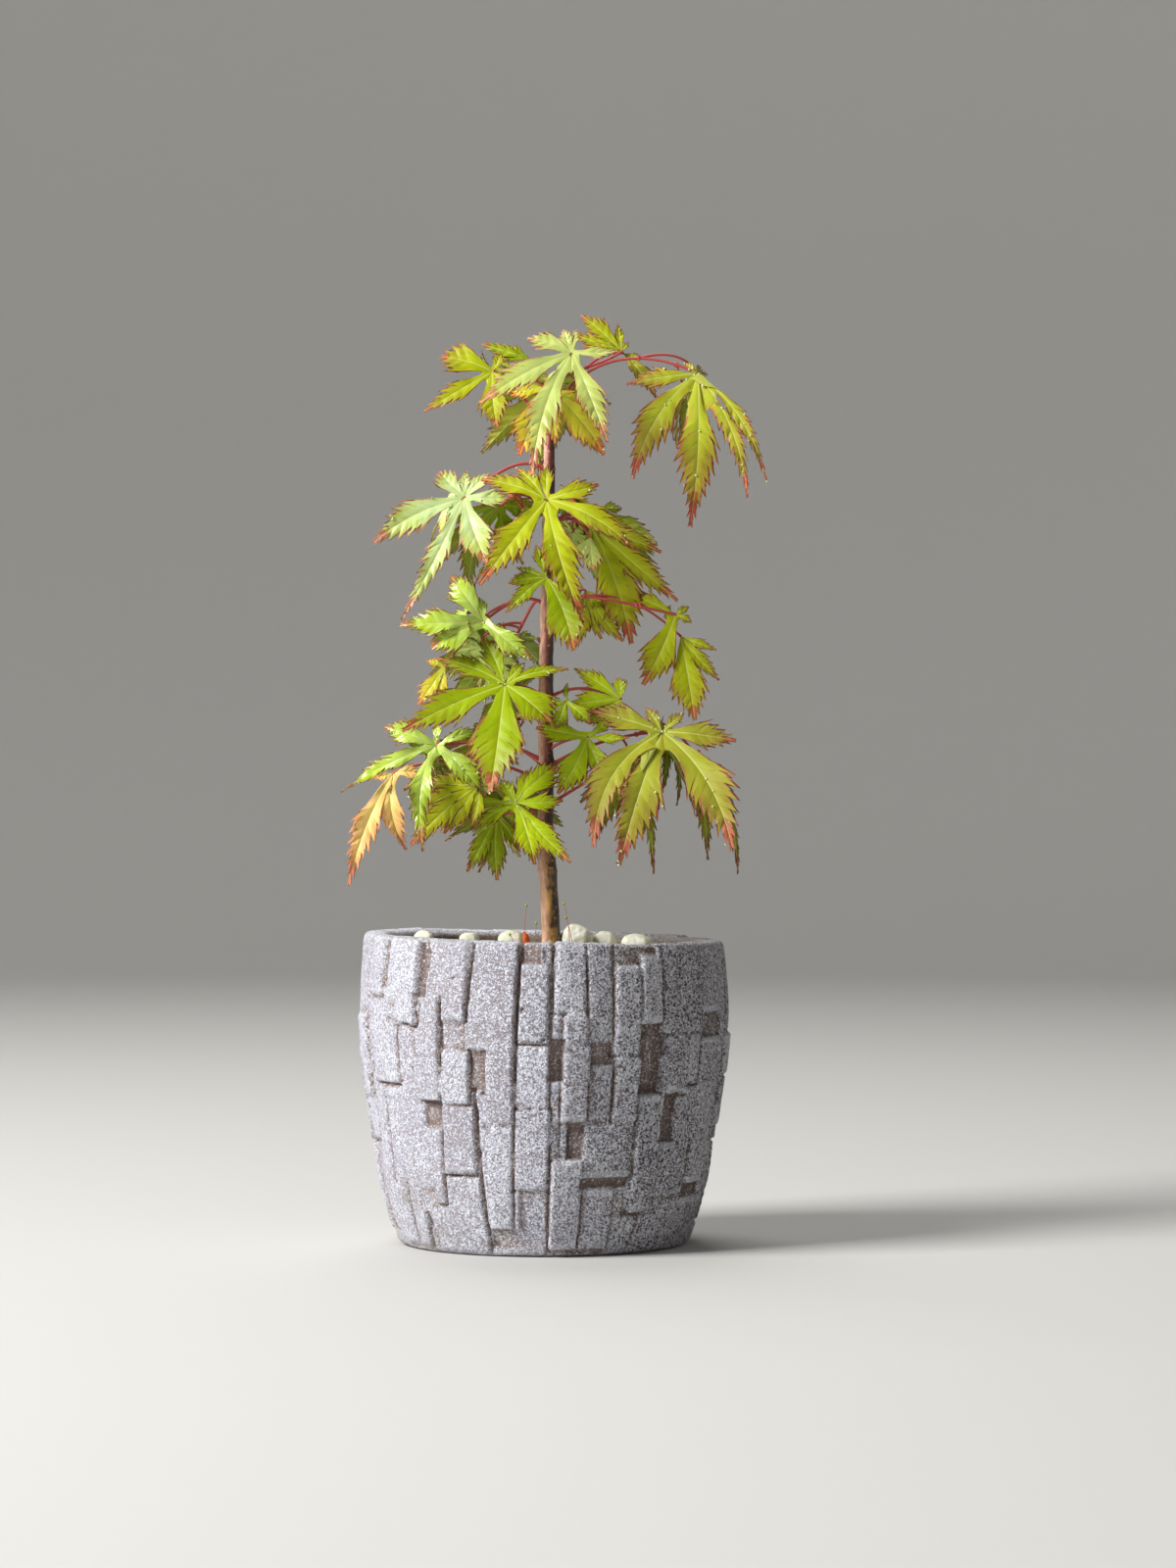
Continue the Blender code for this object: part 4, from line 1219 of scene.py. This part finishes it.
def blurred(values):
    """The mean of each value's surroundings on a grid."""
    for axis, reach in ((0, 3), (1, 4), (0, 3), (1, 4)):
        steps = range(-reach, reach + 1)
        values = sum(np.roll(values, step, axis=axis) for step in steps) / len(steps)
    return values


def make_pot():
    """The casting: its turned shape with blocks, grooves, holes and grain, and the rim's slight fall."""
    profile, wall_end = pot_profile()
    rows = len(profile)
    turns = np.linspace(0, math.tau, POT_AROUND, endpoint=False)
    # The angle is 0 at the front, which faces -Y, and grows to the right.
    angle = np.degrees(turns)[None, :] * np.ones((rows, 1))
    east = np.sin(turns)[None, :]
    north = -np.cos(turns)[None, :]
    way = np.gradient(profile, axis=0)
    way /= np.linalg.norm(way, axis=1)[:, None]
    radius, height, out_r, out_z = (column[:, None] * np.ones(POT_AROUND)
                                    for column in (profile[:, 0], profile[:, 1], way[:, 1], -way[:, 0]))
    places = np.stack([radius * east, radius * north, height], axis=-1).reshape(-1, 3)

    def grain(size, seed):
        return noise_at(places, size, seed).reshape(rows, -1)

    ragged = 0.34 * grain(2.6, 4)
    ragged += 0.3 * grain(7.0, 5)
    grit = grain(1.6, 6)
    swell = grain(26.0, 7)
    along = np.arange(rows)
    rim_share = np.clip((wall_end + 7 - along) / 5.0, 0, 1)[:, None]
    foot_share = smooth_step(0.0, FOOT_CLEAR, height)
    seen = (along < wall_end + len(POT_RIM) - 2)[:, None]
    relief, wash = pot_relief(angle, height, radius, ragged)
    relief *= rim_share
    relief *= foot_share
    recess = np.clip(1.1 * (blurred(relief) - relief) + 0.42 * np.clip(-0.7 - relief, 0, 1.2), 0, 1.5)
    # The relief's ridges, which the material lightens as a painted highlight.
    painted_crest_highlight = np.clip(relief - 0.5 * (np.roll(relief, 3, axis=0) + np.roll(relief, -3, axis=0)), 0, 1)
    skin = 0.2 * grit + 0.35 * swell - 0.3 * np.clip(grit - 0.35, 0, 1)
    relief = np.clip(relief + skin * foot_share * seen - 0.3, -3.4, 1.5)
    ring_radius = radius + relief * out_r
    ring_height = height + relief * out_z
    ring_height = ring_height - rim_fall(ring_radius * east, ring_height)
    ring_height = np.where(height < 0.3, height, np.maximum(ring_height, 0.05))
    points = np.stack([ring_radius * east, ring_radius * north, ring_height], axis=-1).reshape(-1, 3)
    under = len(points)
    floor = under + 1
    points = np.concatenate([points, [(0, 0, 0), (0, 0, POT_INSIDE[-1][1])]])
    faces = ring_faces(rows, POT_AROUND)
    last = (rows - 1) * POT_AROUND
    for step in range(POT_AROUND):
        turn = (step + 1) % POT_AROUND
        faces.append((under, turn, step))
        faces.append((floor, last + step, last + turn))
    piece = make_object("pot_casting", points, faces, [concrete_material()], smooth_angle=75)
    wash *= rim_share
    for name, values, cap in (("recess", recess, 0.3), ("painted_crest_highlight", painted_crest_highlight, 0.0), ("wash", wash, 0.0)):
        point_values(piece, name, np.append(values.reshape(-1), (cap, cap)))
    lay_out_pot(piece.data, profile)
    finish_piece(piece, "concrete", "pot")


def lay_out_pot(mesh, profile):
    """The casting's own map: its side in three strips round the pot, and the hidden rest in the fourth."""
    seen_rows = len(profile) - len(POT_INSIDE)
    first_cap = (len(profile) - 1) * POT_AROUND
    lengths = np.append(0, np.cumsum(np.linalg.norm(np.diff(profile, axis=0), axis=1)))
    lengths = lengths / lengths[seen_rows - 1]
    strip = POT_AROUND // 3
    layer = mesh.uv_layers.new(name="OFBake")
    corners = np.zeros((len(mesh.loops), 2), np.float32)
    loop_points = np.zeros(len(mesh.loops), np.int32)
    mesh.loops.foreach_get("vertex_index", loop_points)
    places = np.zeros(len(mesh.vertices) * 3, np.float32)
    mesh.vertices.foreach_get("co", places)
    places = places.reshape(-1, 3)
    for index, face in enumerate(mesh.polygons):
        row, step = divmod(index, POT_AROUND)
        loops = range(face.loop_start, face.loop_start + face.loop_total)
        if row < seen_rows - 1:
            left, low = STRIP_PLACES[step // strip]
            for loop in loops:
                point_row, point_step = divmod(int(loop_points[loop]), POT_AROUND)
                across = point_step - (step // strip) * strip
                across = strip if across < 0 else across
                corners[loop] = (left + STRIP_SIZE * across / strip, low + STRIP_SIZE * lengths[point_row])
        else:
            # The caps' faces take turns: one of the underside, then one of the inner floor.
            below = index >= first_cap and (index - first_cap) % 2 == 0
            middle = UNDERSIDE_MIDDLE if below else INSIDE_MIDDLE
            for loop in loops:
                x, y = places[loop_points[loop]][:2]
                corners[loop] = (middle[0] + x * HIDDEN_SCALE, middle[1] + y * HIDDEN_SCALE)
    layer.data.foreach_set("uv", corners.reshape(-1))


def concrete_material():
    """Cast concrete under a thin, worn whitewash: brown in the recesses, and rough with small pits. Painted
    shade darkens its right side, with its pits and recesses there, and the left of its inner wall. Painted
    highlights pale its crests and the tops of its grains.
    """
    material, tree, shader = new_material("cast_concrete", 0.9)
    place = own_place(tree)
    recess, painted_crest_highlight, wash = (own_value(tree, name) for name in ("recess", "painted_crest_highlight", "wash"))
    x, y, height = add_node(tree, "ShaderNodeSeparateXYZ", ((0, place),)).outputs
    patches = noise_node(tree, place, 16.0, 3.0, 0.5)
    grains = noise_node(tree, place, 0.7, 1.0, 0.5, 0.9)
    coarse = noise_node(tree, place, 2.8, 2.0, 0.5, 0.5)
    brushed = noise_node(tree, place, 1.0, 3.0, 0.6, 0.0, (1, 1, 0.12))
    # Painted shade: right grows towards the pot's right side and shaded grows across the front from left to
    # right. Both darken the colours where the window light leaves shade.
    right = spread(tree, x, 0.0, 0.055)
    shaded = spread(tree, x, -0.035, 0.035)
    white = mix_colours(tree, spread(tree, patches, 0.35, 0.65), (236, 240, 255), (222, 224, 242))
    # Painted shade: the whitewash greys towards the right.
    white = mix_colours(tree, math_node(tree, "MULTIPLY", right, 0.68), white, (154, 148, 144))
    worn = mix_colours(tree, spread(tree, brushed, 0.42, 0.66, 0.0, 0.4), white, (190, 178, 184))
    lumpy = math_node(tree, "MULTIPLY", math_node(tree, "SUBTRACT", coarse, 0.5), 0.22)
    depth = math_node(tree, "ADD", grains, lumpy)
    depth = math_node(tree, "SUBTRACT", depth, math_node(tree, "MULTIPLY", wash, 0.1))
    pits = spread(tree, depth, 0.53, 0.61, 0.0, 0.9)
    # The pits are brown, and painted shade makes them nearly black towards the right.
    brown = mix_colours(tree, shaded, (186, 168, 170), (46, 36, 32))
    body = mix_colours(tree, pits, worn, brown)
    bare = mix_colours(tree, spread(tree, grains, 0.44, 0.58), (204, 190, 184), (158, 136, 126))
    # Bare concrete in the recesses, darkened towards the right by painted shade.
    bare = mix_colours(tree, math_node(tree, "MULTIPLY", right, 0.8), bare, (96, 82, 74))
    body = mix_colours(tree, spread(tree, recess, 0.12, 0.6, 0.0, 0.7), body, bare)
    # The deepest recesses, darker towards the right with painted shade.
    deepest = mix_colours(tree, right, (146, 120, 112), (94, 76, 68))
    body = mix_colours(tree, spread(tree, recess, 0.6, 1.15, 0.0, 0.65), body, deepest)
    # Painted highlight: the tops of the fine grains turn near white.
    painted_grain_highlight = spread(tree, depth, 0.32, 0.44, 0.7, 0.0)
    body = mix_colours(tree, painted_grain_highlight, body, (246, 248, 255))
    low = spread(tree, height, 0.0, 0.03, 0.5, 0.0)
    left = spread(tree, x, -0.05, -0.02, 1.0, 0.0)
    green = math_node(tree, "MULTIPLY", low, left)
    green = math_node(tree, "MULTIPLY", green, spread(tree, patches, 0.45, 0.6))
    body = mix_colours(tree, green, body, (150, 148, 92))
    # Painted highlight: the ridges of the blocks turn near white.
    body = mix_colours(tree, spread(tree, painted_crest_highlight, 0.2, 0.8, 0.0, 0.45), body, (232, 234, 244))
    rim = spread(tree, height, 0.1105, 0.1114, 0.0, 0.5)
    body = mix_colours(tree, rim, body, (236, 238, 246))
    flat = add_node(tree, "ShaderNodeCombineXYZ", ((0, x), (1, y))).outputs[0]
    reach = add_node(tree, "ShaderNodeVectorMath", ((0, flat),), operation="LENGTH").outputs["Value"]
    inside = math_node(tree, "MULTIPLY", spread(tree, reach, 0.0575, 0.0595, 1.0, 0.0),
                       math_node(tree, "MULTIPLY", spread(tree, height, 0.08, 0.09),
                                 spread(tree, height, 0.1095, 0.1108, 1.0, 0.0)))
    # The inner wall's soil stain, with painted shade that darkens it towards the left.
    stain_and_painted_shade = mix_colours(tree, spread(tree, x, -0.03, 0.03), (148, 130, 104), (196, 184, 180))
    body = mix_colours(tree, inside, body, stain_and_painted_shade)
    tree.links.new(body, shader.inputs["Base Color"])
    rough = math_node(tree, "MULTIPLY_ADD", coarse, 0.5)
    tree.links.new(grains, rough.node.inputs[2])
    rough = math_node(tree, "SUBTRACT", rough, math_node(tree, "MULTIPLY", pits, 0.7))
    add_bump(tree, shader, rough, 1.5)
    return material


# Soil, pebbles and moss

def soil_height(x):
    """The soil's level here, with the fall of the rim."""
    return SOIL_LEVEL - rim_fall(x, SOIL_LEVEL)


def make_soil():
    """Moist potting soil: a lumpy top with loose crumbs and bits of bark."""
    turns = np.linspace(0, math.tau, SOIL_AROUND, endpoint=False)
    radius, turn = np.meshgrid(np.linspace(0.6, SOIL_EDGE, SOIL_RINGS), turns, indexing="ij")
    x = (radius * np.cos(turn)).reshape(-1)
    y = (radius * np.sin(turn)).reshape(-1)
    places = np.stack([x, y, soil_height(x)], axis=-1)
    lumps = 0.8 * noise_at(places, 24.0, SEED) + 0.9 * noise_at(places, 4.5, 8)
    lumps += 0.7 * noise_at(places, 1.7, 9)
    # The soil is more even round the trunk's foot.
    places[:, 2] += lumps * np.clip((np.hypot(x, y) - 7.0) / 6.0, 0.25, 1)
    rings = [places]
    for ring_radius, ring_height in SOIL_SIDE:
        x = ring_radius * np.cos(turns)
        y = ring_radius * np.sin(turns)
        rings.append(np.stack([x, y, ring_height - rim_fall(x, ring_height)], axis=-1))
    count = SOIL_RINGS + len(SOIL_SIDE)
    points = np.concatenate([*rings, [(0, 0, soil_height(0)), (0, 0, SOIL_SIDE[-1][1])]])
    faces = [tuple(reversed(face)) for face in ring_faces(count, SOIL_AROUND)]
    last = (count - 1) * SOIL_AROUND
    for step in range(SOIL_AROUND):
        following = (step + 1) % SOIL_AROUND
        faces.append((len(points) - 2, step, following))
        faces.append((len(points) - 1, last + following, last + step))
    crumbs, crumb_slots = soil_crumbs()
    slots = [0] * len(faces) + crumb_slots
    points, faces = join_parts([(points, faces), *crumbs])
    materials = [make_material(name, colour, 0.95, 0.9, 0.25) for name, colour in SOIL_COLOURS]
    piece = make_object("soil_top", points, faces, materials, slots, smooth_angle=40)
    finish_piece(piece, "soil", "soil")


def soil_crumbs():
    """Loose crumbs and bits of bark that lie all over the soil, and the face slots of their colours."""
    draw = random.Random(SEED + 1)
    shape_points, shape_faces = crumb_shape()
    crumbs = []
    slots = []
    for _ in range(CRUMBS):
        reach = CRUMB_REACH * math.sqrt(draw.random())
        angle = draw.uniform(0, math.tau)
        if reach < CRUMB_FREE:
            continue
        x = reach * math.cos(angle)
        y = reach * math.sin(angle)
        place = np.array((x, y, soil_height(x) + draw.uniform(-0.1, 0.9)))
        size = draw.uniform(0.5, 1.9)
        shape = np.array((size, size * draw.uniform(0.4, 0.9), size * draw.uniform(0.35, 0.8)))
        spin = draw.uniform(0, math.pi)
        uneven = np.array([draw.uniform(-1, 1) for _ in shape_points])
        points = shape_points * shape * (1 + 0.25 * uneven[:, None])
        spun_x = points[:, 0] * math.cos(spin) - points[:, 1] * math.sin(spin)
        spun_y = points[:, 0] * math.sin(spin) + points[:, 1] * math.cos(spin)
        crumbs.append((place + np.stack([spun_x, spun_y, points[:, 2]], axis=-1), shape_faces))
        slots += [draw.choice((1, 1, 2, 2, 3, 4))] * len(shape_faces)
    return crumbs, slots


def crumb_shape():
    """A small faceted lump, as points and faces."""
    bpy.ops.mesh.primitive_ico_sphere_add(subdivisions=1, radius=1.0)
    guide = bpy.context.object
    points = np.array([vert.co[:] for vert in guide.data.vertices])
    faces = [tuple(face.vertices) for face in guide.data.polygons]
    bpy.data.objects.remove(guide, do_unlink=True)
    return points, faces


def make_husk():
    """A curled orange bud scale that stands among the pebbles."""
    shares = np.linspace(0.03, 0.97, 12)
    places = [np.array((-7.0 + 0.5 * math.sin(4 * share), 0.5, 106.8 + 6.4 * share)) for share in shares]
    radii = 1.25 * np.sin(math.pi * shares) ** 0.6
    points, faces = tube(places, radii, 16)
    sideways = (points - np.mean(points, axis=0)) * (1.0, 1.0, 0.0)
    points = points + sideways * (0.35 * noise_at(points, 1.1, 11))[:, None]
    orange = make_material("husk_orange", (226, 100, 34), 0.5, 0.6, 0.2)
    finish_piece(make_object("bud_husk", points, faces, [orange]), "tinted_leaf")


def make_pebbles():
    material = pebble_material()
    for name in sorted(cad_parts):
        if name.startswith("pebble"):
            make_pebble(name, material)


def make_pebble(name, material):
    """A pebble in its solid's place, with a worn, slightly uneven surface."""
    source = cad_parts[name]
    bm = bmesh.new()
    bm.from_mesh(source.data)
    bmesh.ops.transform(bm, matrix=source.matrix_world, verts=bm.verts)
    bmesh.ops.remove_doubles(bm, verts=bm.verts, dist=0.05 * MM)
    mesh = bpy.data.meshes.new("stone_" + name)
    bm.to_mesh(mesh)
    bm.free()
    piece = bpy.data.objects.new("stone_" + name, mesh)
    bpy.context.scene.collection.objects.link(piece)
    only_select(piece)
    rounding = piece.modifiers.new("rounding", "SUBSURF")
    rounding.levels = 3
    rounding.render_levels = 3
    bpy.ops.object.modifier_apply(modifier=rounding.name)
    lowest, highest = (Vector(corner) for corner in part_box(name))
    centre = (lowest + highest) / 2
    size = highest - lowest
    columns = list(zip(*(vert.co for vert in piece.data.vertices)))
    spans = [max(column) - min(column) for column in columns]
    middles = [(max(column) + min(column)) / 2 for column in columns]
    growth = (PEBBLE_GROWTH.get(name, USUAL_PEBBLE_GROWTH), PEBBLE_SIDE_GROWTH, PEBBLE_SIDE_GROWTH)
    for vert in piece.data.vertices:
        shares = [2 * (one - middle) / span for one, middle, span in zip(vert.co, middles, spans)]
        shares = [math.copysign(abs(share) ** power, share) for share, power in zip(shares, PEBBLE_POWERS)]
        local = Vector([share * side * grow / 2 for share, side, grow in zip(shares, size, growth)])
        lump = sum(height * noise.noise(local / MM / lumps) for height, lumps in PEBBLE_LUMPS)
        vert.co = centre + local * (1.0 + lump)
    piece.data.materials.clear()
    piece.data.materials.append(material)
    bpy.ops.object.shade_smooth()
    finish_piece(piece, "pebble", name)


def pebble_material():
    """Near white stone with cream clouds and fine brown veins."""
    material, tree, shader = new_material("worn_pebble", 0.6)
    place = own_place(tree)
    clouds = noise_node(tree, place, 5.0, 4.0, 0.6)
    veins = noise_node(tree, place, 3.4, 2.0, 0.5, 1.6)
    colour = mix_colours(tree, spread(tree, clouds, 0.35, 0.66), (250, 250, 236), (230, 230, 198))
    line = math_node(tree, "ABSOLUTE", math_node(tree, "SUBTRACT", veins, 0.5))
    line = spread(tree, line, 0.0, 0.016, 0.35, 0.0)
    colour = mix_colours(tree, line, colour, (186, 140, 104))
    tree.links.new(colour, shader.inputs["Base Color"])
    add_bump(tree, shader, clouds, 0.3)
    return material


def bead(centre, size):
    """A small egg-shaped bead, as a short tube of rising and falling radius."""
    shares = np.linspace(0.06, 0.94, 8)
    points = [np.array(centre) + (0, 0, (share - 0.5) * size * 1.6) for share in shares]
    radii = [size * 0.5 * math.sin(math.pi * share) for share in shares]
    return tube(points, radii, 10)


def make_moss():
    """A small tuft of moss, whose thin red stalks carry green capsules."""
    draw = random.Random(SEED + 2)
    stalks = []
    capsules = []
    for foot, top in (np.array(stalk, float) for stalk in MOSS_STALKS):
        bend = (foot + top) / 2 + (draw.uniform(-0.8, 0.8), 0, 0)
        line = curve_points(foot, bend, bend, top, 14)
        stalks.append(tube(line, [0.12] * len(line), 8))
        capsules.append(bead(top, 0.9))
    leaves = []
    for _ in range(MOSS_LEAVES):
        reach = 7.0 * math.sqrt(draw.random())
        angle = draw.uniform(0, math.tau)
        x = MOSS_MIDDLE[0] + 1.3 * reach * math.cos(angle)
        y = MOSS_MIDDLE[1] + 0.8 * reach * math.sin(angle)
        foot = np.array((x, y, soil_height(x) - 0.3))
        rise = np.array((0, 0, draw.uniform(0.9, 2.4)))
        lean = np.array((draw.uniform(-0.6, 0.6), draw.uniform(-0.6, 0.6), 0))
        line = curve_points(foot, foot + rise / 2, foot + rise * 0.8 + lean * 0.5, foot + rise + lean, 5)
        leaves.append(tube(line, (0.16, 0.26, 0.26, 0.16, 0.05), 5))
    slots = []
    for number, group in enumerate((leaves, capsules, stalks)):
        slots += [number] * sum(len(part[1]) for part in group)
    materials = [make_material(*colour) for colour in MOSS_COLOURS]
    piece = make_object("moss", *join_parts([*leaves, *capsules, *stalks]), materials, slots)
    finish_piece(piece, "leaf")


# Stage and light

def make_stage():
    """A pale bowl that the pot stands in, soft light from the left, and a camera in front."""
    profile = [(radius, -UNDER_POT) for radius in (0.02, 0.5, 1.2, BOWL_FLOOR)]
    for step in range(1, 13):
        turn = math.radians(step * 7.5)
        rise = BOWL_CURVE - BOWL_CURVE * math.cos(turn)
        profile.append((BOWL_FLOOR + BOWL_CURVE * math.sin(turn), rise - UNDER_POT))
    profile.append((BOWL_FLOOR + BOWL_CURVE, BOWL_TOP))
    points = []
    for radius, height in profile:
        for turn in np.linspace(0, math.tau, BOWL_AROUND, endpoint=False):
            points.append((radius * math.cos(turn), radius * math.sin(turn), height))
    faces = ring_faces(len(profile), BOWL_AROUND)
    faces.append(tuple(range(BOWL_AROUND)))
    grey = make_material("backdrop_grey", (206, 205, 202), 0.8)
    floor = make_object("backdrop", np.array(points) / MM, faces, [grey])

    for name, place, aim, size, power, colour in LIGHTS:
        data = bpy.data.lights.new(name, "AREA")
        data.size = size
        data.energy = power
        data.color = colour
        light = bpy.data.objects.new(name, data)
        light.location = place
        light.rotation_euler = (Vector(aim) - Vector(place)).to_track_quat("-Z", "Y").to_euler()
        light.visible_camera = False
        bpy.context.scene.collection.objects.link(light)
    world = bpy.data.worlds.new("room_light")
    world.use_nodes = True
    background = world.node_tree.nodes["Background"]
    background.inputs["Color"].default_value = SKY_COLOUR
    background.inputs["Strength"].default_value = SKY_STRENGTH
    bpy.context.scene.world = world
    bpy.context.scene.view_settings.view_transform = "Standard"
    camera_data = bpy.data.cameras.new("front")
    camera_data.lens = LENS
    camera_data.sensor_width = SENSOR_WIDTH
    camera_data.sensor_fit = "AUTO"
    camera = bpy.data.objects.new("front", camera_data)
    camera.location = EYE * MM
    camera.rotation_euler = (math.radians(90), 0, 0)
    bpy.context.scene.collection.objects.link(camera)
    bpy.context.scene.camera = camera


make_stage()
make_pot()
make_soil()
make_pebbles()
make_husk()
make_trunk()
bead_spots = make_front_sprays()
make_rear_sprays()
make_water_beads(bead_spots)
make_moss()
